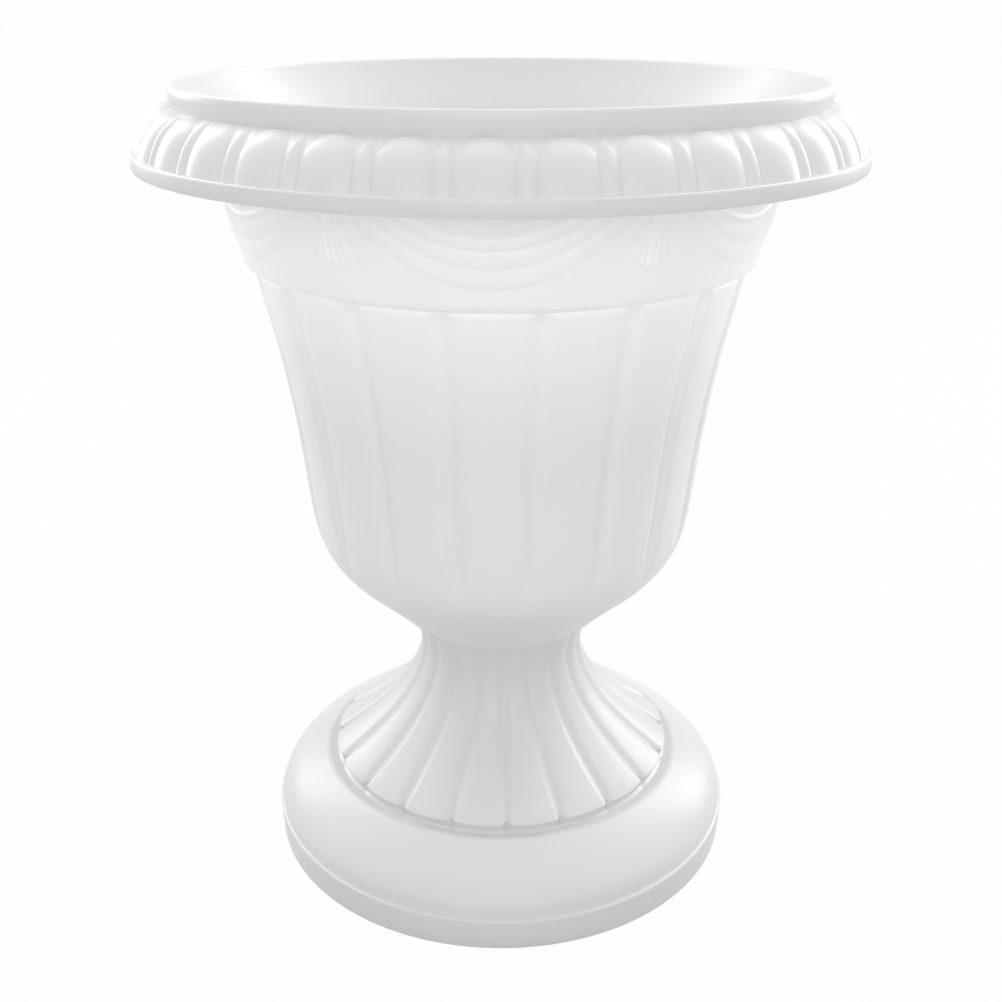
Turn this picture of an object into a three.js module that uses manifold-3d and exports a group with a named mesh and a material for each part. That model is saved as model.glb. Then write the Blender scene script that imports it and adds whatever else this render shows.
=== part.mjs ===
// A column planter: a fluted bowl with an egg-and-dart rim and a swagged frieze, on a fluted pedestal.
// The bowl's spigot drops into the pedestal's neck, and one bolt with a wing nut clamps the two together.
// Millimetres, +Z up, origin at the centre of the base. A swag hangs at the front, which faces -Y.

import * as THREE from 'three';
import { mergeVertices } from 'three/addons/utils/BufferGeometryUtils.js';
import Module from 'manifold-3d';

// Clearance between any two pieces that touch, and the running clearance round the bolt and the plugs
const fitGap = 0.3;

// How far a cutting form runs past the face that it cuts
const cutOver = 1;

// Pedestal heights, from the floor up
const plinthHeight = 12.8;
const torusHeight = 21;
const fluteStepHeight = 4.1;
const flareHeight = 46.1;
const neckHeight = 10.7;

// Pedestal radii
const baseRadius = 95.9;
const plinthTopRadius = 95.2;
const torusFootRadius = 94.3;
const torusTopRadius = 73.4;
const fluteEndRadius = 70.3;
const neckRadius = 33.1;
const pedestalTopRadius = 34.8;
const torusShoulderRadius = 91.7;
const torusShoulderRise = 10.9;
const flarePower = 1.95;
const flareCrowding = 1.4;

// Pedestal flutes: rounded tongues between narrow grooves
const tongueCount = 20;
const tongueGrooveDepth = 1.5;
const neckGrooveDepth = 1.1;
const tongueGrooveHalfAngle = 3;
const pedestalTurn = 3.8;

// Pedestal wall and the web that the bolt pulls against
const pedestalWall = 2.6;
const plinthWall = 3.2;
const webThickness = 2.4;
const webDepth = 12.4;
const webDrainCount = 6;
const webDrainRadius = 3.2;
const webDrainCircle = 19;

// Bowl heights, from the underside of its floor up
const bellyHeight = 55;
const sideHeight = 89;
const beadHeight = 7.5;
const friezeHeight = 31.5;
const flangeHeight = 5.3;
const eggBandHeight = 14;
const lipHeight = 7.7;

// Bowl radii
const bowlFootRadius = 36;
const bellyFootRadius = 40.6;
const bellyFootRise = 3.4;
const bellyBreakRadius = 59.3;
const bellyBreakRise = 21;
const bellyCornerRadius = 74;
const bellyCornerRise = 33;
const bellyTopRadius = 75.2;
const sideWaistRadius = 79;
const sideTopRadius = 90.1;
const friezeFootRadius = 93.8;

// Rim, whose radii follow the mouth's
const mouthRadius = 112.9;
const friezeTopInset = 11.6;
const friezeTopRadius = mouthRadius - friezeTopInset;
const eggBandFootReach = 13.5;
const eggBandFootRadius = mouthRadius + eggBandFootReach;
const eggBandKneeInset = 3.5;
const eggBandKneeRadius = eggBandFootRadius - eggBandKneeInset;
const eggBandKneeRise = 8;
const eggBandTopReach = 2.1;
const eggBandTopRadius = mouthRadius + eggBandTopReach;
const flangeReach = 2.9;
const flangeRadius = eggBandFootRadius + flangeReach;
const coveDepth = 0.7;
const coveRadius = mouthRadius - coveDepth;
const coveRise = 0.4;
const lipReach = 2.3;
const lipRadius = mouthRadius + lipReach;
const lipBulgeDrop = 2.5;
const lipFlat = 1.4;
const lipEdge = 0.6;

// Bowl walls
const bowlWall = 2.6;
const floorThickness = 2.6;
const rimWall = 2.4;
const flangeWall = 2.6;
const flangeBevel = 0.9;
const channelTopDrop = 10.5;

// Bowl flutes: broad panels between narrow concave channels that fade out under the belly
const channelCount = 18;
const channelDepth = 1.8;
const channelHalfAngle = 2.6;
const channelFadeRise = 22;
const beadGrooveDepth = 1;
const beadGrooveRise = 1.25;
const beadShoulderRadius = 92.9;
const beadShoulderRise = 3.75;

// Rim ornament: broad eggs side by side
const eggCount = 34;
const eggHalfWidth = 7.7;
const eggRelief = 2.1;
const eggShoulder = 0.62;
const eggShoulderRelief = 0.7;
const eggSink = 0.9;

// Frieze ornament: swags of nested cords that hang between tassels
const swagCount = 6;
const swagHalfAngle = 28;
const swagEndDrop = 2;
const swagEndHeight = 2;
const swagLeastSag = 7;
const swagSag = 24.4;
const cordCount = 4;
const cordRelief = 1.6;
const cordValley = 0.5;
const tasselKnotRadius = 3.4;
const tasselKnotRelief = 2;
const tasselDrop = 7;
const tailCount = 3;
const tailLength = 16.5;
const tailWidth = 3.6;
const tailSpread = 13;
const tailRelief = 1.2;
const ornamentRoot = 1.2;

// Spigot under the bowl that centres it in the pedestal's neck
const spigotRadius = 29.4;
const spigotWall = 2.4;
const spigotLength = 9.5;

// Clamp bolt, its rubber seal, the washer and the wing nut
const boltRadius = 4;
const boltReach = 20;
const boltHeadRadius = 10.5;
const boltHeadHeight = 4.2;
const boltHeadEdge = 2;
const boltHeadChamfer = 3;
const boltTipChamfer = 0.8;
const boltSlotWidth = 1.8;
const boltSlotDepth = 1.5;
const sealRadius = 12;
const sealThickness = 1.6;
const washerRadius = 13;
const washerThickness = 1.6;
const nutRadius = 7.2;
const nutHeight = 8;
const nutTaper = 1.2;
const wingSpan = 17;
const wingThickness = 2.8;
const wingHeight = 12;
const wingTipRadius = 3.4;
const wingTopDrop = 1;

// Drain plugs in the bowl's floor
const plugCount = 3;
const plugCircle = 19.5;
const plugRadius = 3.7;
const plugHeadRadius = 6;
const plugHeadHeight = 1.8;
const plugTip = 2.4;
const plugTaper = 0.7;
const plugHeadEdge = 1.2;
const plugHeadChamfer = 0.9;
const plugTabWidth = 5;
const plugTabHeight = 4;
const plugTabThickness = 1.6;
const plugTabRoot = 1;

// Facets round the small turned pieces and the tassels' knots, and along the curves
const turnedSides = 18;
const drainSides = 10;
const knotSides = 6;
const knotRings = 4;
const swagSteps = 8;
const wingTipSteps = 5;
const flareSteps = 6;
const torusSteps = 4;
const bellySteps = 4;
const sideSteps = 2;

// Levels that both the pedestal and the bowl are set out from
const torusTopZ = plinthHeight + torusHeight;
const fluteEndZ = torusTopZ + fluteStepHeight;
const neckZ = fluteEndZ + flareHeight;
const pedestalTopZ = neckZ + neckHeight;
const bowlFootZ = pedestalTopZ + fitGap;
const floorTopZ = bowlFootZ + floorThickness;
const bellyTopZ = bowlFootZ + bellyHeight;
const sideTopZ = bellyTopZ + sideHeight;
const friezeFootZ = sideTopZ + beadHeight;
const friezeTopZ = friezeFootZ + friezeHeight;
const eggBandFootZ = friezeTopZ + flangeHeight;
const eggBandTopZ = eggBandFootZ + eggBandHeight;
const lipTopZ = eggBandTopZ + lipHeight;
const webTopZ = pedestalTopZ - webDepth;
const webBottomZ = webTopZ - webThickness;
const socketRadius = spigotRadius + fitGap;

const wasm = await Module();
wasm.setup();

// A closed geometry as a solid that can be joined and cut
function toSolid(geometry) {
  const bare = geometry.clone();
  bare.deleteAttribute('normal');
  bare.deleteAttribute('uv');
  const merged = mergeVertices(bare);
  return new wasm.Manifold(new wasm.Mesh({
    numProp: 3,
    vertProperties: merged.attributes.position.array,
    triVerts: merged.index.array,
  }));
}

// A joined or cut solid back as a geometry
function toGeometry(solid) {
  const mesh = solid.getMesh();
  const geometry = new THREE.BufferGeometry();
  geometry.setAttribute('position', new THREE.BufferAttribute(mesh.vertProperties, mesh.numProp));
  geometry.setIndex(new THREE.BufferAttribute(mesh.triVerts, 1));
  geometry.computeVertexNormals();
  return geometry;
}

// All of a list of geometries joined into one solid
function joined(geometries) {
  return geometries.map(toSolid).reduce((whole, next) => whole.add(next));
}

// The unit vectors away from the axis and around it, at an azimuth in degrees counted from the front
function outward(azimuth) {
  const turn = THREE.MathUtils.degToRad(azimuth);
  return new THREE.Vector3(Math.sin(turn), -Math.cos(turn), 0);
}

function around(azimuth) {
  return outward(azimuth + 90);
}

// Rings of points stacked along a section and skinned over. Each section point has a radius r and a
// height z, and on a fluted stretch a depth by which the grooves are drawn in: elsewhere the points
// spread evenly. A section that starts and ends on the axis makes a solid body, and one that closes
// on itself makes a ring.
function skinned(section, azimuths) {
  const onAxis = section[0].r === 0;
  const rings = onAxis ? section.slice(1, -1) : section;
  const count = azimuths.length;
  const positions = [];
  const triangles = [];
  for (const point of rings) {
    const fluted = point.depth !== undefined;
    for (const { azimuth, fluteAzimuth, groove } of azimuths) {
      const spot = outward(fluted ? fluteAzimuth : azimuth);
      spot.multiplyScalar(fluted ? point.r - groove * point.depth : point.r);
      positions.push(spot.x, spot.y, point.z);
    }
  }
  const stretches = onAxis ? rings.length - 1 : rings.length;
  for (let ring = 0; ring < stretches; ring += 1) {
    const above = (ring + 1) % rings.length;
    for (let side = 0; side < count; side += 1) {
      const next = (side + 1) % count;
      const [a, b] = [ring * count + side, ring * count + next];
      const [c, d] = [above * count + next, above * count + side];
      triangles.push(a, b, c, a, c, d);
    }
  }
  if (onAxis) {
    const bottom = positions.length / 3;
    positions.push(0, 0, section[0].z, 0, 0, section.at(-1).z);
    const last = (rings.length - 1) * count;
    for (let side = 0; side < count; side += 1) {
      const next = (side + 1) % count;
      triangles.push(bottom, next, side, last + side, last + next, bottom + 1);
    }
  }
  const geometry = new THREE.BufferGeometry();
  geometry.setAttribute('position', new THREE.Float32BufferAttribute(positions, 3));
  geometry.setIndex(triangles);
  geometry.computeVertexNormals();
  return geometry;
}

// Evenly spaced plain azimuths, for a round piece
function plainAzimuths(sides) {
  return Array.from({ length: sides }, (_, index) => ({ azimuth: index * 360 / sides }));
}

// Azimuths for a fluted piece: each groove's two edges and its bottom, and the rib's middle if it swells
function flutedAzimuths(count, halfAngle, firstGroove, swells) {
  const pitch = 360 / count;
  const step = pitch / (swells ? 4 : 3);
  return Array.from({ length: count }, (_, index) => firstGroove + index * pitch).flatMap((centre) => [
    { azimuth: centre - step, fluteAzimuth: centre - halfAngle, groove: 0 },
    { azimuth: centre, fluteAzimuth: centre, groove: 1 },
    { azimuth: centre + step, fluteAzimuth: centre + halfAngle, groove: 0 },
    ...(swells ? [{ azimuth: centre + pitch / 2, fluteAzimuth: centre + pitch / 2, groove: 0 }] : []),
  ]);
}

// A turned piece from its [radius, height] pairs, moved off the axis if need be
function turned(pairs, x = 0, y = 0, sides = turnedSides) {
  const section = pairs.map(([r, z]) => ({ r, z }));
  return skinned(section, plainAzimuths(sides)).translate(x, y, 0);
}

// A plain rod between two heights, used for cutting holes
function rod(radius, bottom, top, x = 0, y = 0, sides = turnedSides) {
  return turned([[0, bottom], [radius, bottom], [radius, top], [0, top]], x, y, sides);
}

// Points on a curve with one control point, without its first point
function bend(start, control, end, steps) {
  const curve = new THREE.QuadraticBezierCurve(...[start, control, end].map((p) => new THREE.Vector2(...p)));
  return curve.getPoints(steps).slice(1).map((p) => ({ r: p.x, z: p.y }));
}

// A section moved square to itself by a distance, to the left of its direction of travel
function offset(section, distance) {
  return section.map((point, index) => {
    const before = section[Math.max(index - 1, 0)];
    const after = section[Math.min(index + 1, section.length - 1)];
    const length = Math.hypot(after.r - before.r, after.z - before.z);
    return {
      ...point,
      r: point.r - distance * (after.z - before.z) / length,
      z: point.z + distance * (after.r - before.r) / length,
    };
  });
}

// Pedestal: a hollow foot with a plinth band, a round torus and a concave flare up to the neck
function pedestalSection() {
  const torus = [{ r: torusFootRadius, z: plinthHeight }, ...bend(
    [torusFootRadius, plinthHeight],
    [torusShoulderRadius, plinthHeight + torusShoulderRise],
    [torusTopRadius, torusTopZ],
    torusSteps,
  )];
  const flare = Array.from({ length: flareSteps + 1 }, (_, step) => {
    const rise = 1 - (1 - step / flareSteps) ** flareCrowding;
    const open = (1 - rise) ** flarePower;
    return {
      r: neckRadius + (fluteEndRadius - neckRadius) * open,
      z: fluteEndZ + flareHeight * rise,
      depth: neckGrooveDepth + (tongueGrooveDepth - neckGrooveDepth) * open,
    };
  });
  const inner = offset([...torus, ...flare.slice(0, -1)], pedestalWall).reverse();
  return [
    { r: baseRadius - plinthWall, z: 0 },
    { r: baseRadius, z: 0 },
    { r: plinthTopRadius, z: plinthHeight },
    ...torus,
    ...flare,
    { r: pedestalTopRadius, z: pedestalTopZ, depth: neckGrooveDepth },
    { r: socketRadius, z: pedestalTopZ },
    { r: socketRadius, z: webBottomZ - fitGap },
    ...inner.filter((point) => point.r > socketRadius && point.z < webBottomZ - pedestalWall),
  ];
}

function makePedestal() {
  const azimuths = flutedAzimuths(tongueCount, tongueGrooveHalfAngle, pedestalTurn, true);
  const shell = toSolid(skinned(pedestalSection(), azimuths));
  const web = toSolid(rod(socketRadius + pedestalWall / 2, webBottomZ, webTopZ));
  const drains = Array.from({ length: webDrainCount }, (_, index) => {
    const spot = outward((index + 0.5) * 360 / webDrainCount).multiplyScalar(webDrainCircle);
    return rod(webDrainRadius, webBottomZ - cutOver, webTopZ + cutOver, spot.x, spot.y, drainSides);
  });
  const boltHole = rod(boltRadius + fitGap, webBottomZ - cutOver, webTopZ + cutOver);
  return toGeometry(shell.add(web.subtract(joined([boltHole, ...drains]))));
}

// Bowl: the outer line of its wall from the floor up, with the flutes' depth on the stretch they cover
function bowlWallLine() {
  const bellyBreak = [bellyBreakRadius, bowlFootZ + bellyBreakRise];
  const bellyTop = [bellyTopRadius, bellyTopZ];
  const sideTop = [sideTopRadius, sideTopZ];
  const belly = bend(bellyBreak, [bellyCornerRadius, bowlFootZ + bellyCornerRise], bellyTop, bellySteps);
  const side = bend(bellyTop, [sideWaistRadius, (bellyTopZ + sideTopZ) / 2], sideTop, sideSteps);
  const fluted = [...belly, ...side].map((point) => ({
    ...point,
    depth: channelDepth * THREE.MathUtils.smoothstep(point.z, bowlFootZ + channelFadeRise, bellyTopZ),
  }));
  return [
    { r: bellyFootRadius, z: bowlFootZ + bellyFootRise },
    { r: bellyBreakRadius, z: bowlFootZ + bellyBreakRise },
    ...fluted,
    { r: friezeFootRadius, z: friezeFootZ },
    { r: friezeTopRadius, z: friezeTopZ },
  ];
}

// The band under the eggs, from its foot on the flange, over its knee to the cove under the lip
const eggBand = [
  { r: eggBandFootRadius, z: eggBandFootZ },
  { r: eggBandKneeRadius, z: eggBandFootZ + eggBandKneeRise },
  { r: eggBandTopRadius, z: eggBandTopZ },
];

// The rim, from the top of the channel under it, round the flange and the egg band to the mouth
function rimSection(channelTop) {
  const flangeInner = flangeRadius - flangeWall;
  return [
    channelTop,
    ...offset(eggBand, rimWall).reverse(),
    { r: flangeInner, z: eggBandFootZ - rimWall },
    { r: flangeInner, z: friezeTopZ },
    { r: flangeRadius, z: friezeTopZ },
    { r: flangeRadius, z: eggBandFootZ - flangeBevel },
    { r: flangeRadius - flangeBevel, z: eggBandFootZ },
    ...eggBand,
    { r: coveRadius, z: eggBandTopZ + coveRise },
    { r: lipRadius, z: lipTopZ - lipBulgeDrop },
    { r: mouthRadius + lipEdge + lipFlat, z: lipTopZ },
    { r: mouthRadius + lipEdge, z: lipTopZ },
    { r: mouthRadius, z: lipTopZ - lipEdge },
  ];
}

function bowlSection() {
  const line = bowlWallLine();
  const [friezeFoot, friezeTop] = line.slice(-2);
  const channelTopZ = lipTopZ - channelTopDrop;
  const channelLean = (mouthRadius + bowlWall - friezeTop.r) / (lipTopZ - friezeTopZ);
  const channelTop = { r: friezeTop.r + channelLean * (channelTopZ - friezeTopZ), z: channelTopZ };
  const inner = offset([...line, channelTop], bowlWall).reverse().slice(1);
  return [
    { r: 0, z: bowlFootZ },
    { r: bowlFootRadius, z: bowlFootZ },
    ...line.slice(0, -2),
    { r: sideTopRadius - beadGrooveDepth, z: sideTopZ + beadGrooveRise },
    { r: beadShoulderRadius, z: sideTopZ + beadShoulderRise },
    friezeFoot,
    friezeTop,
    ...rimSection(channelTop),
    ...inner.filter((point) => point.z > floorTopZ),
    { r: bowlFootRadius, z: floorTopZ },
    { r: 0, z: floorTopZ },
  ];
}

// Radius of the frieze's wall at a height
function friezeRadius(z) {
  return THREE.MathUtils.mapLinear(z, friezeFootZ, friezeTopZ, friezeFootRadius, friezeTopRadius);
}

// Where an ornament sits on a sloping wall: the matrix that turns its X outward, square to the wall,
// its Y around the planter and its Z up the slope, at an azimuth and a share of the wall's height
function onSlope(azimuth, foot, top, share) {
  const slope = new THREE.Vector2(top.r - foot.r, top.z - foot.z).normalize();
  const up = new THREE.Vector3(0, 0, 1);
  const spot = outward(azimuth).multiplyScalar(THREE.MathUtils.lerp(foot.r, top.r, share));
  return new THREE.Matrix4().makeBasis(
    outward(azimuth).multiplyScalar(slope.y).addScaledVector(up, -slope.x),
    around(azimuth),
    outward(azimuth).multiplyScalar(slope.x).addScaledVector(up, slope.y),
  ).setPosition(spot.setZ(THREE.MathUtils.lerp(foot.z, top.z, share)));
}

// Closed rings of points, one after another and all alike in count, skinned over and closed at both ends
function swept(rings) {
  const count = rings[0].length;
  const triangles = [];
  for (let step = 0; step < rings.length - 1; step += 1) {
    for (let side = 0; side < count; side += 1) {
      const next = (side + 1) % count;
      const [a, b] = [step * count + side, step * count + next];
      triangles.push(a, b, b + count, a, b + count, a + count);
    }
  }
  const last = (rings.length - 1) * count;
  for (let side = 1; side < count - 1; side += 1) {
    triangles.push(0, side + 1, side, last, last + side, last + side + 1);
  }
  const positions = rings.flat().flatMap((point) => point.toArray());
  const geometry = new THREE.BufferGeometry();
  geometry.setAttribute('position', new THREE.Float32BufferAttribute(positions, 3));
  geometry.setIndex(triangles);
  return geometry;
}

// An egg: a broad boss that stands on the flange, follows the band up and ends round at its top.
// Each level of it is a place along the band, with a share of the egg's width and of its relief.
function egg(centre) {
  const [foot, knee, top] = eggBand;
  const levels = [
    { from: foot, to: knee, share: 0, width: 1, swell: 0.75, sink: eggSink },
    { from: foot, to: knee, share: 0.5, width: 1, swell: 1, sink: 0 },
    { from: knee, to: top, share: 0, width: 1, swell: 1, sink: 0 },
    { from: knee, to: top, share: 0.6, width: 0.86, swell: 1, sink: 0 },
    { from: knee, to: top, share: 0.92, width: 0.6, swell: 0.95, sink: 0 },
    { from: knee, to: top, share: 1.08, width: 0.25, swell: 0.3, sink: 0 },
  ];
  return swept(levels.map(({ from, to, share, width, swell, sink }) => {
    const r = THREE.MathUtils.lerp(from.r, to.r, share);
    const z = THREE.MathUtils.lerp(from.z, to.z, share) - sink;
    const out = new THREE.Vector2(to.z - from.z, from.r - to.r).normalize();
    const crest = eggRelief * swell;
    const shoulder = crest * eggShoulderRelief;
    const root = -rimWall / 2;
    const outline = [[-1, root], [-eggShoulder, shoulder], [0, crest], [eggShoulder, shoulder], [1, root]];
    return outline.map(([across, lift]) => {
      const spot = outward(centre).multiplyScalar(r + out.x * lift);
      return spot.addScaledVector(around(centre), across * width * eggHalfWidth).setZ(z + out.y * lift);
    });
  }));
}

// A swag: nested cords, side by side, that leave one tassel, sag and rise to the next. Each step
// along it is a ring of points that runs down over the cords' ridges and back inside the wall.
function swag(centre) {
  const endZ = friezeTopZ - swagEndDrop;
  const ridges = Array.from({ length: 2 * cordCount + 1 }, (_, index) => ({
    across: index / (2 * cordCount),
    relief: index % 2 ? cordRelief : cordValley,
  }));
  ridges[0].relief = -ornamentRoot / 2;
  ridges.at(-1).relief = -ornamentRoot / 2;
  const back = [...ridges].reverse().filter((_, index) => index % cordCount === 0);
  const ring = [...ridges, ...back.map(({ across }) => ({ across, relief: -ornamentRoot }))];
  return swept(Array.from({ length: swagSteps + 1 }, (_, step) => {
    const along = 2 * step / swagSteps - 1;
    return ring.map(({ across, relief }) => {
      const sag = THREE.MathUtils.lerp(swagLeastSag, swagSag, across) * (1 - along ** 2);
      const z = endZ + swagEndHeight * (0.5 - across) - sag;
      return outward(centre + along * swagHalfAngle).multiplyScalar(friezeRadius(z) + relief).setZ(z);
    });
  }));
}

// A tassel: a round knot with a fan of flat tails under it
function tassel(centre) {
  const foot = { r: friezeFootRadius, z: friezeFootZ };
  const top = { r: friezeTopRadius, z: friezeTopZ };
  const placed = onSlope(centre, foot, top, 1 - tasselDrop / friezeHeight);
  const knot = new THREE.SphereGeometry(tasselKnotRadius, knotSides, knotRings).rotateX(Math.PI / 2);
  knot.scale(tasselKnotRelief / tasselKnotRadius, 1, 1);
  const tails = Array.from({ length: tailCount }, (_, index) => {
    const lean = THREE.MathUtils.degToRad((index - (tailCount - 1) / 2) * tailSpread);
    const tail = new THREE.BoxGeometry(2 * tailRelief, tailWidth, tailLength);
    return tail.translate(0, 0, -tailLength / 2).rotateX(lean);
  });
  return [knot, ...tails].map((piece) => piece.applyMatrix4(placed));
}

function friezeOrnament() {
  const pitch = 360 / swagCount;
  return Array.from({ length: swagCount }, (_, index) => index * pitch).flatMap((centre) => [
    swag(centre),
    ...tassel(centre + pitch / 2),
  ]);
}

function plugSpot(index) {
  return outward(180 + index * 360 / plugCount).multiplyScalar(plugCircle);
}

function makeBowl() {
  const azimuths = flutedAzimuths(channelCount, channelHalfAngle, 180 / channelCount, false);
  const shell = toSolid(skinned(bowlSection(), azimuths));
  const spigot = turned([
    [spigotRadius - spigotWall, bowlFootZ - spigotLength],
    [spigotRadius, bowlFootZ - spigotLength],
    [spigotRadius, bowlFootZ + floorThickness / 2],
    [spigotRadius - spigotWall, bowlFootZ + floorThickness / 2],
  ]);
  const eggs = Array.from({ length: eggCount }, (_, index) => egg(index * 360 / eggCount));
  const ornament = joined([spigot, ...eggs, ...friezeOrnament()]);
  const holes = Array.from({ length: plugCount }, (_, index) => {
    const spot = plugSpot(index);
    return rod(plugRadius + fitGap, bowlFootZ - cutOver, floorTopZ + cutOver, spot.x, spot.y);
  });
  const boltHole = rod(boltRadius + fitGap, bowlFootZ - cutOver, floorTopZ + cutOver);
  return toGeometry(shell.add(ornament).subtract(joined([boltHole, ...holes])));
}

// Clamp bolt with a slotted round head that rests on the rubber seal
function makeBolt() {
  const headZ = floorTopZ + fitGap + sealThickness + fitGap;
  const topZ = headZ + boltHeadHeight;
  const tipZ = webBottomZ - boltReach;
  const bolt = toSolid(turned([
    [0, tipZ],
    [boltRadius - boltTipChamfer, tipZ],
    [boltRadius, tipZ + boltTipChamfer],
    [boltRadius, headZ],
    [boltHeadRadius, headZ],
    [boltHeadRadius, headZ + boltHeadEdge],
    [boltHeadRadius - boltHeadChamfer, topZ],
    [0, topZ],
  ]));
  const slot = new THREE.BoxGeometry(2 * (boltHeadRadius + cutOver), boltSlotWidth, 2 * boltSlotDepth);
  return toGeometry(bolt.subtract(toSolid(slot.translate(0, 0, topZ))));
}

// A flat ring round the bolt
function flatRing(radius, bottom, thickness) {
  const bore = boltRadius + fitGap;
  return turned([[bore, bottom], [radius, bottom], [radius, bottom + thickness], [bore, bottom + thickness]]);
}

// Wing nut: a tapered hub with a through bore and two ears that sweep down and out
function makeWingNut() {
  const topZ = webBottomZ - washerThickness - 2 * fitGap;
  const hub = turned([
    [0, topZ - nutHeight],
    [nutRadius - nutTaper, topZ - nutHeight],
    [nutRadius, topZ],
    [0, topZ],
  ]);
  const tip = { x: wingSpan - wingTipRadius, y: wingTipRadius - wingHeight };
  const ear = new THREE.Shape();
  ear.moveTo(boltRadius, -wingTopDrop);
  ear.lineTo(boltRadius, -nutHeight);
  ear.absarc(tip.x, tip.y, wingTipRadius, -Math.PI / 2, Math.PI / 3, false);
  ear.lineTo(nutRadius, -wingTopDrop);
  const ears = [0, Math.PI].map((turn) => new THREE.ExtrudeGeometry(ear, {
    depth: wingThickness,
    bevelEnabled: false,
    curveSegments: wingTipSteps,
  }).translate(0, 0, -wingThickness / 2).rotateX(Math.PI / 2).rotateZ(turn).translate(0, 0, topZ));
  const bore = rod(boltRadius + fitGap, topZ - wingHeight - cutOver, topZ + cutOver);
  return toGeometry(joined([hub, ...ears]).subtract(toSolid(bore)));
}

// Drain plug: a round stem through the floor, a flat head on it and a tab to pull
function makePlug(index) {
  const spot = plugSpot(index);
  const headZ = floorTopZ + fitGap;
  const topZ = headZ + plugHeadHeight;
  const stem = turned([
    [0, bowlFootZ - plugTip],
    [plugRadius - plugTaper, bowlFootZ - plugTip],
    [plugRadius, bowlFootZ - plugTip + plugTaper],
    [plugRadius, headZ],
    [plugHeadRadius, headZ],
    [plugHeadRadius, headZ + plugHeadEdge],
    [plugHeadRadius - plugHeadChamfer, topZ],
    [0, topZ],
  ], spot.x, spot.y);
  const tab = new THREE.BoxGeometry(plugTabWidth, plugTabThickness, plugTabHeight + plugTabRoot);
  tab.translate(spot.x, spot.y, topZ + (plugTabHeight - plugTabRoot) / 2);
  return toGeometry(joined([stem, tab]));
}

const whitePlastic = { color: 0xf1f1f0, roughness: 0.42, metalness: 0 };
const greyRubber = { color: 0x4a4b4c, roughness: 0.85, metalness: 0 };
const whiteNylon = { color: 0xe6e6e2, roughness: 0.5, metalness: 0 };

const planter = new THREE.Group();

function place(name, geometry, finish) {
  const mesh = new THREE.Mesh(geometry, new THREE.MeshStandardMaterial(finish));
  mesh.name = name;
  planter.add(mesh);
}

place('pedestal', makePedestal(), whitePlastic);
place('bowl', makeBowl(), whitePlastic);
place('clamp_bolt', makeBolt(), whiteNylon);
place('bolt_seal', flatRing(sealRadius, floorTopZ + fitGap, sealThickness), greyRubber);
place('clamp_washer', flatRing(washerRadius, webBottomZ - fitGap - washerThickness, washerThickness), whiteNylon);
place('wing_nut', makeWingNut(), whiteNylon);
for (let index = 0; index < plugCount; index += 1) {
  place(`drain_plug_${index + 1}`, makePlug(index), greyRubber);
}

export default planter;
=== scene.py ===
"""A white column planter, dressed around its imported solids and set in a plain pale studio.

Sizes are in millimetres until a mesh is made, and azimuths are in degrees: 0 is the front, which
faces -Y, and they grow towards +X.
"""

from __future__ import annotations

import logging
import math
from dataclasses import dataclass, field
from enum import Enum

import bpy
import numpy as np
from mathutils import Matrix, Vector


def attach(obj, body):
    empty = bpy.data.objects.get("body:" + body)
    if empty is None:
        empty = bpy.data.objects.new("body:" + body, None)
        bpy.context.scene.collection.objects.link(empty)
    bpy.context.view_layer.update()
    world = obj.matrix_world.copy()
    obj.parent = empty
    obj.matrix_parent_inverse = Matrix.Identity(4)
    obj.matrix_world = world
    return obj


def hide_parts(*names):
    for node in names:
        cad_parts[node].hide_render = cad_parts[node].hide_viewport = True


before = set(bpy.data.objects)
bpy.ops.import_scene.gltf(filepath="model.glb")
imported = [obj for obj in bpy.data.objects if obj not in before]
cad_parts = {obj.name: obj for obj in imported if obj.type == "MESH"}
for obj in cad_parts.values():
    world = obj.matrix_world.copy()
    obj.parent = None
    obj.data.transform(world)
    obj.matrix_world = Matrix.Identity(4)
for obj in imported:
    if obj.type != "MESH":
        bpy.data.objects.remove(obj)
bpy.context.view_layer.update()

MILLIMETRE = 0.001
SMOOTH_ANGLE = math.radians(50)

Array = np.ndarray
log = logging.getLogger("column planter")


class Body(Enum):
    """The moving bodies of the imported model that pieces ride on."""

    PEDESTAL = "pedestal"
    BOWL = "bowl"
    CLAMP = "clamp"
    WASHER = "washer"
    NUT = "nut"


class Slot(Enum):
    """The material slots of the record, which each piece notes."""

    PLASTIC = "white_plastic"
    NYLON = "white_nylon"
    RUBBER = "grey_rubber"


def smooth(low: float, high: float, value: Array) -> Array:
    """An S-shaped ramp.

    Args:
        low: Where the ramp is still 0.
        high: Where the ramp reaches 1.
        value: Where to read it.

    Returns:
        3 t^2 - 2 t^3, with t the share of the way from low to high, held between 0 and 1.
    """
    share = np.clip((value - low) / (high - low), 0.0, 1.0)
    return share * share * (3.0 - 2.0 * share)


def soft_floor(value: Array, rounding: float) -> Array:
    """The larger of a value and 0, with the corner rounded off.

    Args:
        value: The value.
        rounding: How wide the rounding is, in the value's own unit.

    Returns:
        Half of the value plus the root of its square and the rounding's square.
    """
    return 0.5 * (value + np.sqrt(value * value + rounding * rounding))


def dome(reach: Array, fullness: float) -> Array:
    """The height of a rounded boss at a distance from its middle.

    Args:
        reach: The distance as a share of the boss's half width.
        fullness: 0.5 for a round section, and less for a flatter top with steeper sides.

    Returns:
        (1 - reach^2) to the power of fullness inside the boss, and 0 outside.
    """
    return np.clip(1.0 - reach * reach, 0.0, None) ** fullness


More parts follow.
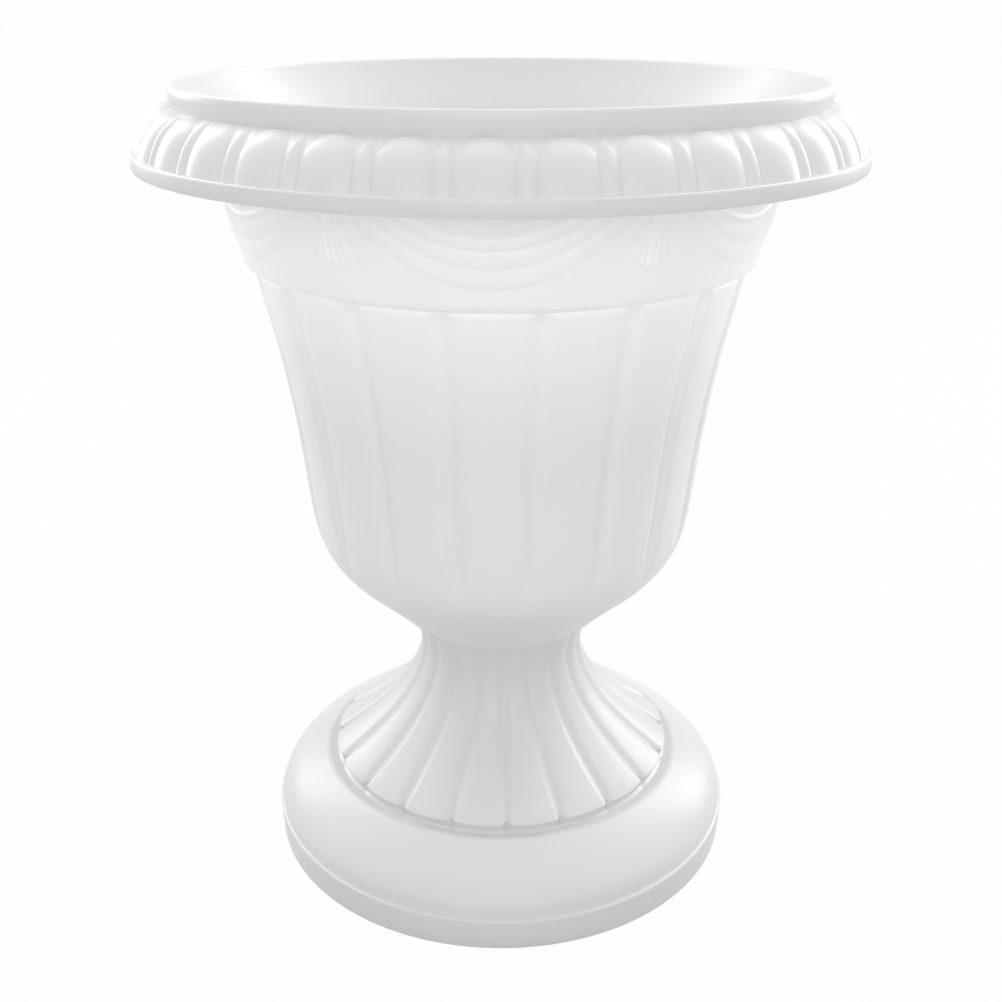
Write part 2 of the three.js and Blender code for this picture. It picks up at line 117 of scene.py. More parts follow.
def straight(start: tuple[float, float], end: tuple[float, float], steps: int) -> Array:
    """Evenly spaced points on a line.

    Args:
        start: The first point's radius and height.
        end: The last point's radius and height.
        steps: How many stretches the line is cut into.

    Returns:
        The points, one row each, both ends among them.
    """
    share = np.linspace(0.0, 1.0, steps + 1)[:, None]
    return np.array(start) * (1.0 - share) + np.array(end) * share


def bend(start: tuple[float, float], control: tuple[float, float], end: tuple[float, float],
         shares: Array) -> Array:
    """Points on a curve that leaves start towards control and reaches end from control.

    Args:
        start: The first point's radius and height.
        control: The control point's radius and height.
        end: The last point's radius and height.
        shares: Where along the curve the points are, from 0 to 1.

    Returns:
        (1 - t)^2 start + 2 t (1 - t) control + t^2 end for each share t, one row each.
    """
    share = shares[:, None]
    rest = 1.0 - share
    return (rest * rest * np.array(start) + 2.0 * share * rest * np.array(control)
            + share * share * np.array(end))


def rounded(corners: list[tuple[float, float, float]], steps: int = 3) -> Array:
    """A line through corners, each rounded by its own radius.

    A rounded corner is replaced by the curve from the point that lies its radius before the corner
    to the one that lies as far after it, with the corner as control point.

    Args:
        corners: Radius, height and rounding of each corner. The two ends aren't rounded.
        steps: How many stretches each rounding is cut into.

    Returns:
        The points, one row each.
    """
    spots = np.array(corners)[:, :2]
    parts = [spots[:1]]
    for before, corner, after, rounding in zip(spots, spots[1:], spots[2:],
                                               np.array(corners)[1:-1, 2]):
        if rounding > 0.0:
            back = (before - corner) / np.linalg.norm(before - corner)
            ahead = (after - corner) / np.linalg.norm(after - corner)
            parts.append(bend(tuple(corner + rounding * back), tuple(corner),
                              tuple(corner + rounding * ahead), np.linspace(0.0, 1.0, steps + 1)))
        else:
            parts.append(corner[None, :])
    parts.append(spots[-1:])
    return np.vstack(parts)


def through(knots: list[tuple[float, float]], steps: int) -> Array:
    """A smooth line through given points.

    Each stretch is the cubic whose slopes at its ends are half the step between the neighbours of
    that end. Points are spread along the line by their count, the same number on each stretch.

    Args:
        knots: Radius and height of each point the line passes through.
        steps: How many stretches lie between one knot and the next.

    Returns:
        The points, one row each.
    """
    spots = np.array(knots)
    slopes = np.gradient(spots, axis=0)
    share = np.linspace(0.0, 1.0, steps, endpoint=False)[None, :, None]
    start, end = spots[:-1, None, :], spots[1:, None, :]
    leave, reach = slopes[:-1, None, :], slopes[1:, None, :]
    curve = ((2 * share**3 - 3 * share**2 + 1) * start + (share**3 - 2 * share**2 + share) * leave
             + (3 * share**2 - 2 * share**3) * end + (share**3 - share**2) * reach)
    return np.vstack([curve.reshape(-1, 2), spots[-1:]])


def square_to(section: Array) -> Array:
    """The direction square to a section at each of its points.

    Args:
        section: Radius and height of each point, in an order that runs up the outside.

    Returns:
        The step between the two neighbours, turned a quarter to the right and made 1 long.
    """
    step = np.gradient(section, axis=0)
    across = np.stack([step[:, 1], -step[:, 0]], axis=1)
    return across / np.linalg.norm(across, axis=1, keepdims=True)


def ring_azimuths(repeats: int, first: float, crowd: list[tuple[float, float, int]]) -> Array:
    """Azimuths all round that are crowded where a repeated ornament needs them.

    Args:
        repeats: How many times the ornament is repeated round the piece.
        first: The azimuth of the first ornament's middle.
        crowd: Stretches of one repeat, each with its start, its end and its number of azimuths,
            counted from the ornament's middle.

    Returns:
        The azimuths in degrees, in rising order.
    """
    one = np.concatenate([np.linspace(start, end, count, endpoint=False)
                          for start, end, count in crowd])
    middles = first + np.arange(repeats) * 360.0 / repeats
    return (middles[:, None] + one[None, :]).ravel()


def from_middle(azimuths: Array, repeats: int, first: float) -> Array:
    """How far each azimuth is from the nearest middle of a repeated ornament.

    Args:
        azimuths: The azimuths in degrees.
        repeats: How many times the ornament is repeated round the piece.
        first: The azimuth of the first ornament's middle.

    Returns:
        The distances in degrees, below 0 on the side of the lower azimuths.
    """
    pitch = 360.0 / repeats
    return (azimuths - first + pitch / 2.0) % pitch - pitch / 2.0


class Piece:
    """One closed mesh of the planter, made from rings of points and given a body and a finish."""

    def __init__(self, name: str, body: str, slot: Slot, replaces: str) -> None:
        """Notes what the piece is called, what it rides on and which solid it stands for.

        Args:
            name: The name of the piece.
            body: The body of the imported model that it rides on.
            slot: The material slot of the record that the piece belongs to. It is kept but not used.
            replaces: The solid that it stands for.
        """
        self.name = name
        self.body = body
        self.slot = slot
        self.solid = replaces
        self.points: list[Array] = []
        self.quads: list[Array] = []
        self.triangles: list[Array] = []

    def _add(self, points: Array, quads: Array, triangles: Array) -> None:
        """Adds points and the faces between them, which count from the first of these points."""
        first = sum(len(part) for part in self.points)
        self.points.append(points)
        self.quads.append(quads + first)
        self.triangles.append(triangles + first)

    def ring(self, radii: Array, heights: Array, azimuths: Array) -> None:
        """Adds a ring: a section that closes on itself, carried once round the axis.

        A point lies at radius times the sine of the azimuth in X, at minus radius times its cosine
        in Y, and at its height in Z.

        Args:
            radii: The radius of each point of the section, or of each at each azimuth.
            heights: The heights, in the same layout.
            azimuths: The azimuths in degrees, in rising order.
        """
        rows, columns = len(radii), len(azimuths)
        self._add(on_axis(radii, heights, azimuths).reshape(-1, 3),
                  grid_faces(rows, columns, True), np.empty((0, 3), int))

    def turned(self, section: Array, sides: int, x: float = 0.0, y: float = 0.0) -> None:
        """Adds a turned body: a section that starts and ends on the axis.

        Args:
            section: Radius and height of each point. The first and the last have radius 0.
            sides: How many azimuths the body has.
            x: How far the axis is moved along X.
            y: How far the axis is moved along Y.
        """
        azimuths = np.arange(sides) * 360.0 / sides
        rings = section[1:-1]
        points = on_axis(rings[:, 0], rings[:, 1], azimuths).reshape(-1, 3)
        ends = np.array([[0.0, 0.0, section[0, 1]], [0.0, 0.0, section[-1, 1]]])
        self.pod(np.vstack([points, ends]) + np.array([x, y, 0.0]), len(rings), sides)

    def pod(self, points: Array, rows: int, columns: int) -> None:
        """Adds rows of points that close round and meet in a point at both ends.

        Args:
            points: The rows' points one after another, then the first end and the last end.
            rows: How many rows there are.
            columns: How many points a row has.
        """
        around = np.arange(columns)
        after = (around + 1) % columns
        first_end = np.full(columns, rows * columns)
        last_row = (rows - 1) * columns
        triangles = np.vstack([
            np.stack([first_end, after, around], axis=1),
            np.stack([first_end + 1, last_row + around, last_row + after], axis=1),
        ])
        self._add(points, grid_faces(rows, columns, False), triangles)

    def made(self) -> bpy.types.Object:
        """Makes the mesh in metres and puts it in the scene."""
        points = np.vstack(self.points) * MILLIMETRE
        quads = np.vstack(self.quads)
        triangles = np.vstack(self.triangles)
        mesh = bpy.data.meshes.new(self.name)
        corners = np.concatenate([quads.ravel(), triangles.ravel()])
        sizes = np.concatenate([np.full(len(quads), 4), np.full(len(triangles), 3)])
        mesh.vertices.add(len(points))
        mesh.vertices.foreach_set("co", points.ravel())
        mesh.loops.add(len(corners))
        mesh.loops.foreach_set("vertex_index", corners.astype(np.int32))
        mesh.polygons.add(len(sizes))
        starts = np.concatenate([[0], np.cumsum(sizes)[:-1]])
        mesh.polygons.foreach_set("loop_start", starts.astype(np.int32))
        mesh.update(calc_edges=True)
        mesh.validate()
        piece = bpy.data.objects.new(self.name, mesh)
        bpy.context.scene.collection.objects.link(piece)
        return piece

    def place(self, finish: bpy.types.Material, *cutters: "Piece") -> bpy.types.Object:
        """Makes the piece, cuts it, shades it and gives it its body, its solid and its finish.

        Args:
            finish: The material of the whole piece.
            cutters: Closed bodies that are taken out of it.

        Returns:
            The finished object.
        """
        piece = self.made()
        for cutter in cutters:
            combine(piece, cutter.made(), "DIFFERENCE")
        mark_outward(piece.data)
        piece.data.shade_smooth()
        piece.data.set_sharp_from_angle(angle=SMOOTH_ANGLE)
        piece.data.materials.clear()
        piece.data.materials.append(finish)
        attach(piece, self.body)
        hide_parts(self.solid)
        log.info("%s: %d faces, rides on %s", self.name, len(piece.data.polygons), self.body)
        return piece


def mark_outward(mesh: bpy.types.Mesh) -> None:
    """Notes on each point whether its surface faces away from the planter's axis.

    Args:
        mesh: The mesh that gets the attribute outward, 1 where it faces away and 0 inside.
    """
    spots = np.empty(len(mesh.vertices) * 3)
    normals = np.empty(len(mesh.vertices) * 3)
    mesh.vertices.foreach_get("co", spots)
    mesh.vertex_normals.foreach_get("vector", normals)
    flat = spots.reshape(-1, 3)[:, :2]
    along = np.sum(flat * normals.reshape(-1, 3)[:, :2], axis=1)
    share = smooth(0.0, 0.2, along / np.maximum(np.hypot(flat[:, 0], flat[:, 1]), 1e-9))
    attribute = mesh.attributes.new("outward", "FLOAT", "POINT")
    attribute.data.foreach_set("value", share.astype(np.float32))


def on_axis(radii: Array, heights: Array, azimuths: Array) -> Array:
    """Points round the axis.

    Args:
        radii: One radius per row, or one per row and azimuth.
        heights: The heights, in the same layout.
        azimuths: The azimuths in degrees.

    Returns:
        The points, by row, azimuth and axis.
    """
    turn = np.radians(azimuths)[None, :]
    radius = radii if radii.ndim == 2 else radii[:, None]
    height = heights if heights.ndim == 2 else heights[:, None]
    return np.stack(np.broadcast_arrays(radius * np.sin(turn), -radius * np.cos(turn),
                                        height + 0.0 * turn), axis=2)


def grid_faces(rows: int, columns: int, closed: bool) -> Array:
    """The faces of a grid that closes round, and from its last row to its first if need be.

    Args:
        rows: How many rows of points the grid has.
        columns: How many points a row has.
        closed: Whether the last row is joined to the first.

    Returns:
        The four corners of each face, seen from outside against the clock.
    """
    row = np.arange(rows if closed else rows - 1)[:, None]
    column = np.arange(columns)[None, :]
    above = (row + 1) % rows
    after = (column + 1) % columns
    return np.stack([row * columns + column, row * columns + after,
                     above * columns + after, above * columns + column], axis=2).reshape(-1, 4)


def combine(piece: bpy.types.Object, other: bpy.types.Object, operation: str) -> None:
    """Joins another closed mesh to a piece or cuts it out, and deletes the other.

    Args:
        piece: The object that is changed.
        other: The object that is joined or cut out.
        operation: UNION or DIFFERENCE.
    """
    modifier = piece.modifiers.new(operation.lower(), "BOOLEAN")
    modifier.operation = operation
    modifier.solver = "EXACT"
    modifier.object = other
    bpy.context.view_layer.update()
    shaped = bpy.data.meshes.new_from_object(
        piece.evaluated_get(bpy.context.evaluated_depsgraph_get()))
    piece.modifiers.clear()
    piece.data = shaped
    bpy.data.objects.remove(other)


@dataclass(frozen=True)
class EggBand:
    """Broad eggs side by side with a slim dart between each two, on a band that rounds over."""

    eggs: int = 34
    half_angle: float = 3.95
    egg_relief: float = 1.9
    egg_shoulder: float = 0.34
    dart_half_angle: float = 1.25
    dart_relief: float = 1.2
    dart_shoulder: float = 0.4
    dart_top: float = 0.94

    def azimuths(self) -> Array:
        """Azimuths all round, crowded over the darts and the eggs' edges."""
        edge = self.half_angle
        return ring_azimuths(self.eggs, 0.0, [
            (-edge, -edge + 0.7, 4), (-edge + 0.7, edge - 0.7, 11), (edge - 0.7, edge, 4),
            (edge, 360.0 / self.eggs - edge, 12)])

    def relief(self, azimuths: Array, climb: Array) -> Array:
        """How far the ornament stands out.

        An egg is as wide as it gets from its foot up to its shoulder, and closes in an oval above
        it. A dart is a slim ridge of the same kind.

        Args:
            azimuths: The azimuths in degrees.
            climb: Where each row is on the band, from 0 at its foot to 1 at its top.

        Returns:
            The relief in millimetres by row and azimuth.
        """
        up = climb[:, None]
        across = np.abs(from_middle(azimuths, self.eggs, 0.0))[None, :] / self.half_angle
        over = np.clip((up - self.egg_shoulder) / (1.0 - self.egg_shoulder), 0.0, None)
        egg = self.egg_relief * dome(np.sqrt(across**2.1 + over**2.2), 0.75)
        aside = np.abs(from_middle(azimuths, self.eggs, 180.0 / self.eggs))[None, :]
        tip = np.clip((up - self.dart_shoulder) / (self.dart_top - self.dart_shoulder), 0.0, None)
        dart = self.dart_relief * dome(
            np.sqrt((aside / self.dart_half_angle)**1.9 + tip**2.2), 0.85)
        return np.maximum(egg, dart)


@dataclass(frozen=True)
class SwagFrieze:
    """Swags of nested folds that hang between tassels, on a sloping wall."""

    swags: int = 6
    creases: tuple[tuple[float, float], ...] = (
        (271.4, 0.0270), (266.8, 0.0275), (263.0, 0.0255), (257.4, 0.0295), (250.5, 0.0325))
    end_heights: tuple[float, float] = (277.6, 274.5)
    gather: float = 1.6
    fold_relief: float = 0.85
    full_gap: float = 3.6
    knot_height: float = 273.0
    knot_half_width: float = 3.0
    knot_relief: float = 1.9
    tails: int = 5
    tail_spread: float = 6.6
    tail_length: float = 16.5
    tail_half_width: float = 1.4
    tail_relief: float = 1.0

    def azimuths(self) -> Array:
        """Azimuths all round, crowded over the tassels."""
        return ring_azimuths(self.swags, 0.0, [(-24.5, 24.5, 64), (24.5, 35.5, 76)])

    def edge_height(self, azimuths: Array, share: Array) -> Array:
        """The height of a line across the swags.

        The line is a parabola: its height in the swag's middle, plus its rise times the square of
        the angle from there. It levels off where the folds gather under the rim.

        Args:
            azimuths: The azimuths in degrees.
            share: Which lines, from 0 at the swags' upper edge to 1 at their lower edge.

        Returns:
            The heights in millimetres by line and azimuth.
        """
        middles, rises = np.array(self.creases).T
        place = share * (len(middles) - 1)
        low = np.interp(place, np.arange(len(middles)), middles)[:, None]
        rise = np.interp(place, np.arange(len(middles)), rises)[:, None]
        hang = low + rise * from_middle(azimuths, self.swags, 0.0)[None, :]**2
        end = self.end_heights[0] + (self.end_heights[1] - self.end_heights[0]) * share[:, None]
        return end - soft_floor(end - hang, self.gather)

    def fold(self, azimuths: Array, share: Array) -> Array:
        """How far the folds stand out.

        Each fold rises slowly from its upper crease and turns in quickly at its lower one. The
        folds are flatter where they are narrower.

        Args:
            azimuths: The azimuths in degrees.
            share: Where each row is, from 0 at the swags' upper edge to 1 at their lower edge.

        Returns:
            The relief in millimetres by row and azimuth.
        """
        count = len(self.creases) - 1
        index = np.minimum((share * count).astype(int), count - 1)
        within = share * count - index
        edges = self.edge_height(azimuths, np.linspace(0.0, 1.0, count + 1))
        gap = (edges[:-1] - edges[1:])[index]
        height = np.sin(math.pi * np.clip(within, 0.0, 1.0)**1.45)**0.85
        return self.fold_relief * height[:, None] * smooth(0.2, self.full_gap, gap)

    def tassel(self, azimuths: Array, radii: Array, heights: Array) -> Array:
        """How far the knots and the tails under them stand out.

        A knot is a dome. A tail is a ridge that runs down and aside from the knot, grows a little
        wider on its way and ends round.

        Args:
            azimuths: The azimuths in degrees.
            radii: The wall's radius by row and azimuth.
            heights: The height by row and azimuth.

        Returns:
            The relief in millimetres by row and azimuth.
        """
        aside = from_middle(azimuths, self.swags, 180.0 / self.swags)[None, :]
        across = radii * np.radians(aside)
        drop = self.knot_height - heights
        relief = self.knot_relief * dome(np.hypot(across, drop) / self.knot_half_width, 0.5)
        down = (drop - 0.6 * self.knot_half_width) / self.tail_length
        for lean in np.linspace(-1.0, 1.0, self.tails):
            middle = self.tail_spread * lean * (0.35 + 0.65 * down)
            width = self.tail_half_width * (0.75 + 0.25 * down)
            length = 1.0 - 0.17 * lean * lean
            ends = np.sqrt(smooth(0.0, 0.12, down) * (1.0 - smooth(length - 0.14, length, down)))
            tail = self.tail_relief * dome((across - middle) / width, 0.55) * ends
            relief = np.maximum(relief, tail)
        return relief


@dataclass(frozen=True)
class Grooves:
    """Grooves round a wall, whose width changes with the height, and a crowned rib between two."""

    count: int
    first: float
    half_angles: tuple[tuple[float, float], ...]
    crown: float
    sharpness: float

    def azimuths(self, reach: float, near: int, far: int) -> Array:
        """Azimuths all round, near of them within reach of each groove and far of them beyond."""
        pitch = 360.0 / self.count
        return ring_azimuths(self.count, self.first, [
            (-reach, reach, near), (reach, pitch - reach, far)])

    def depth(self, azimuths: Array, heights: Array) -> Array:
        """How deep the wall is drawn in, as a share of the groove's depth.

        A groove is a V with a rounded bottom and rounded edges where it is sharp, and a trough
        where it isn't. The crown lets the rib fall away towards its two grooves.

        Args:
            azimuths: The azimuths in degrees.
            heights: The height of each row.

        Returns:
            The share by row and azimuth.
        """
        levels, halves = np.array(self.half_angles).T
        aside = np.abs(from_middle(azimuths, self.count, self.first))[None, :]
        reach = aside / np.interp(heights, levels, halves)[:, None]
        vee = soft_floor(1.0 - np.sqrt(reach * reach + 0.015), 0.09)
        trough = smooth(1.0, 0.0, reach)
        crown = self.crown * (1.0 - aside * self.count / 180.0)**2
        return self.sharpness * vee + (1.0 - self.sharpness) * trough + crown


@dataclass
class Rim:
    """The bowl's rim: a channel below, the flange, the eggs and darts, the lip and the mouth."""

    eggs: EggBand = field(default_factory=EggBand)
    flange_radius: float = 129.08
    flange_foot: float = 278.0
    flange_top: float = 283.3
    band_foot: tuple[float, float] = (126.1, 283.3)
    band_control: tuple[float, float] = (122.65, 295.1)
    band_top: tuple[float, float] = (114.1, 297.7)
    band_rows: int = 30
    seam_height: float = 279.5

    def section(self) -> tuple[Array, slice]:
        """The section of the rim.

        Returns:
            Radius and height of each point, and which of them lie on the egg band.
        """
        shares = np.linspace(0.0, 1.0, self.band_rows)
        under = rounded([
            (102.09, self.seam_height, 0.0), (109.98, 294.5, 1.5), (114.2, 294.6, 1.5),
            (121.0, 289.8, 3.0), (124.2, 282.3, 1.0), (126.7, 280.9, 0.8),
            (126.7, self.flange_foot, 0.3), (self.flange_radius, self.flange_foot, 0.5),
            (self.flange_radius, self.flange_top - 0.1, 0.6), (128.5, self.flange_top, 0.0),
            self.band_foot + (0.0,)], 2)
        band = bend(self.band_foot, self.band_control, self.band_top, shares)
        lip = rounded([
            self.band_top + (0.0,), (114.3, 298.4, 0.4), (114.9, 300.4, 1.0), (115.2, 303.2, 1.2),
            (114.6, 305.0, 0.7), (113.3, 305.0, 0.4), (112.7, 304.2, 0.6), (111.3, 300.0, 0.0),
            (106.9, 292.0, 0.0), (102.65, 285.0, 0.0), (99.8, self.seam_height, 0.0)], 3)
        first = len(under)
        section = np.vstack([under, band[1:], lip[1:]])
        return section, slice(first - 1, first - 1 + self.band_rows)

    def build(self, finish: bpy.types.Material) -> None:
        """Makes the rim's mesh: the section, pushed out square to the band by the ornament.

        Args:
            finish: The material of the rim.
        """
        section, band = self.section()
        azimuths = self.eggs.azimuths()
        relief = self.eggs.relief(azimuths, np.linspace(0.0, 1.0, self.band_rows))
        push = square_to(section[band])
        push[0] = (1.0, 0.0)
        radii = section[:, :1] + np.zeros((1, len(azimuths)))
        heights = section[:, 1:] + np.zeros((1, len(azimuths)))
        radii[band] += push[:, :1] * relief
        heights[band] += push[:, 1:] * relief
        piece = Piece("bowl_rim", Body.BOWL.value, Slot.PLASTIC, "bowl")
        piece.ring(radii, heights, azimuths)
        piece.place(finish)


@dataclass
class Frieze:
    """The bowl's frieze: a sloping wall with swags and tassels outside and a plain inside."""

    swags: SwagFrieze = field(default_factory=SwagFrieze)
    foot: tuple[float, float] = (94.3, 246.0)
    top: tuple[float, float] = (101.3, 278.0)
    seam_top: float = 279.5
    lower_rows: int = 34
    upper_rows: int = 4

    def wall_radius(self, heights: Array) -> Array:
        """The bare wall's radius at each height, on the line from the foot to the top."""
        slope = (self.top[0] - self.foot[0]) / (self.top[1] - self.foot[1])
        return self.foot[0] + slope * (heights - self.foot[1])

    def build(self, finish: bpy.types.Material) -> None:
        """Makes the frieze's mesh.

        Rows of points follow the folds of the swags, so that each crease lies on a row. The rows
        below and above them are spread evenly down to the foot and up to the top.

        Args:
            finish: The material of the frieze.
        """
        swags = self.swags
        azimuths = swags.azimuths()
        folds = len(swags.creases) - 1
        within = np.array([0.0, 0.12, 0.3, 0.5, 0.68, 0.83, 0.94])
        share = np.append(((np.arange(folds)[:, None] + within) / folds).ravel(), 1.0)[::-1]
        lines = swags.edge_height(azimuths, share)
        down = np.linspace(0.0, 1.0, self.lower_rows, endpoint=False)[:, None]
        up = np.linspace(0.0, 1.0, self.upper_rows + 1)[1:, None]
        lower = self.foot[1] + down * (lines[:1] - self.foot[1])
        upper = lines[-1:] + up * (self.top[1] - lines[-1:])
        heights = np.vstack([lower, lines, upper])
        radii = self.wall_radius(heights)
        relief = np.zeros_like(heights)
        relief[self.lower_rows:self.lower_rows + len(share)] = swags.fold(azimuths, share)
        radii = radii + np.maximum(relief, swags.tassel(azimuths, radii, heights))
        under = rounded([(87.2, 242.3, 0.0), (89.9, 242.3, 0.0), (91.2, 243.0, 0.4),
                         (93.5, 243.9, 0.6), (94.08, 245.2, 0.0)], 3)
        inside = np.array([(102.09, self.seam_top), (99.8, self.seam_top), (98.5, 277.0),
                           (90.4, 246.5)])
        even = np.ones((1, len(azimuths)))
        piece = Piece("bowl_frieze", Body.BOWL.value, Slot.PLASTIC, "bowl")
        piece.ring(np.vstack([under[:, :1] * even, radii, inside[:, :1] * even]),
                   np.vstack([under[:, 1:] * even, heights, inside[:, 1:] * even]), azimuths)
        piece.place(finish)


@dataclass
class BowlBody:
    """The bowl's fluted body, from the foot that stands on the pedestal to the frieze's groove."""

    channels: Grooves = field(default_factory=lambda: Grooves(
        18, 10.0, ((98.0, 3.7), (240.0, 3.5)), 0.12, 0.0))
    channel_depth: float = 1.8
    fade: tuple[float, float] = (124.0, 148.0)
    wall: float = 2.6
    line: tuple[tuple[float, float], ...] = (
        (40.6, 98.4), (45.6, 103.5), (54.2, 111.5), (63.0, 119.8), (69.2, 128.0), (72.7, 136.0),
        (74.6, 145.0), (76.0, 156.0), (77.7, 172.0), (80.2, 191.0), (83.8, 211.5), (86.8, 225.0),
        (90.2, 240.0))

    def build(self, finish: bpy.types.Material) -> None:
        """Makes the body's mesh: an outer line, and the same line moved in by the wall.

        Both are drawn in by the channels' depth, which fades out under the belly.

        Args:
            finish: The material of the body.
        """
        curve = through(list(self.line), 5)
        depth = self.channel_depth * smooth(self.fade[0], self.fade[1], curve[:, 1])
        inner = (curve - self.wall * square_to(curve))[::-1]
        foot = rounded([(30.5, 95.0, 0.0), (36.2, 95.0, 0.9), (40.6, 98.4, 0.0)], 4)[:-1]
        edge = np.array([(90.45, 241.2), (89.9, 242.3), (87.2, 242.3)])
        floor = rounded([(38.6, 99.6, 0.0), (36.2, 97.6, 1.6), (30.5, 97.6, 0.0)], 4)
        inner = inner[inner[:, 1] > 99.9]
        section = np.vstack([foot, curve, edge, inner, floor])
        depths = np.concatenate([np.zeros(len(foot)), depth, [0.5 * self.channel_depth, 0.0, 0.0],
                                 depth[::-1][:len(inner)], np.zeros(len(floor))])
        azimuths = self.channels.azimuths(5.0, 18, 12)
        drawn = depths[:, None] * self.channels.depth(azimuths, section[:, 1])
        piece = Piece("bowl_body", Body.BOWL.value, Slot.PLASTIC, "bowl")
        piece.ring(section[:, :1] - drawn, section[:, 1:] + 0.0 * drawn, azimuths)
        piece.place(finish)


@dataclass
class BowlFloor:
    """The bowl's floor with its holes, and the spigot that centres it in the pedestal."""

    edge: float = 30.5
    bottom: float = 95.0
    top: float = 97.6
    spigot: float = 29.4
    spigot_wall: float = 2.4
    spigot_foot: float = 85.5
    bolt_hole: float = 4.3
    plug_hole: float = 4.0
    plug_circle: float = 19.5

    def build(self, finish: bpy.types.Material) -> None:
        """Makes the floor's mesh: a turned plate with a skirt, and four holes with broken edges.

        Args:
            finish: The material of the floor.
        """
        inner = self.spigot - self.spigot_wall
        piece = Piece("bowl_floor", Body.BOWL.value, Slot.PLASTIC, "bowl")
        piece.turned(rounded([
            (0.0, self.bottom, 0.0), (inner, self.bottom, 1.0), (inner, self.spigot_foot, 0.4),
            (self.spigot, self.spigot_foot, 0.8), (self.spigot, self.bottom, 0.2),
            (self.edge, self.bottom, 0.0), (self.edge, self.top, 0.0), (0.0, self.top, 0.0)], 3),
            144)
        holes = [hole(self.bolt_hole, self.bottom, self.top, 0.0, 0.0)]
        for index in range(3):
            turn = math.radians(180.0 + 120.0 * index)
            holes.append(hole(self.plug_hole, self.bottom, self.top,
                              self.plug_circle * math.sin(turn), -self.plug_circle * math.cos(turn)))
        piece.place(finish, *holes)


def hole(radius: float, bottom: float, top: float, x: float, y: float) -> Piece:
    """A cutting body for a round hole whose two edges are broken.

    Args:
        radius: The hole's radius.
        bottom: The height of the plate's underside.
        top: The height of the plate's top.
        x: The hole's place along X.
        y: The hole's place along Y.

    Returns:
        The cutting body.
    """
    broken = 0.35
    over = 0.6
    cutter = Piece("hole_cutter", Body.BOWL.value, Slot.PLASTIC, "bowl")
    cutter.turned(np.array([
        (0.0, bottom - over), (radius + broken + over, bottom - over), (radius, bottom + broken),
        (radius, top - broken), (radius + broken + over, top + over), (0.0, top + over)]),
        48, x, y)
    return cutter


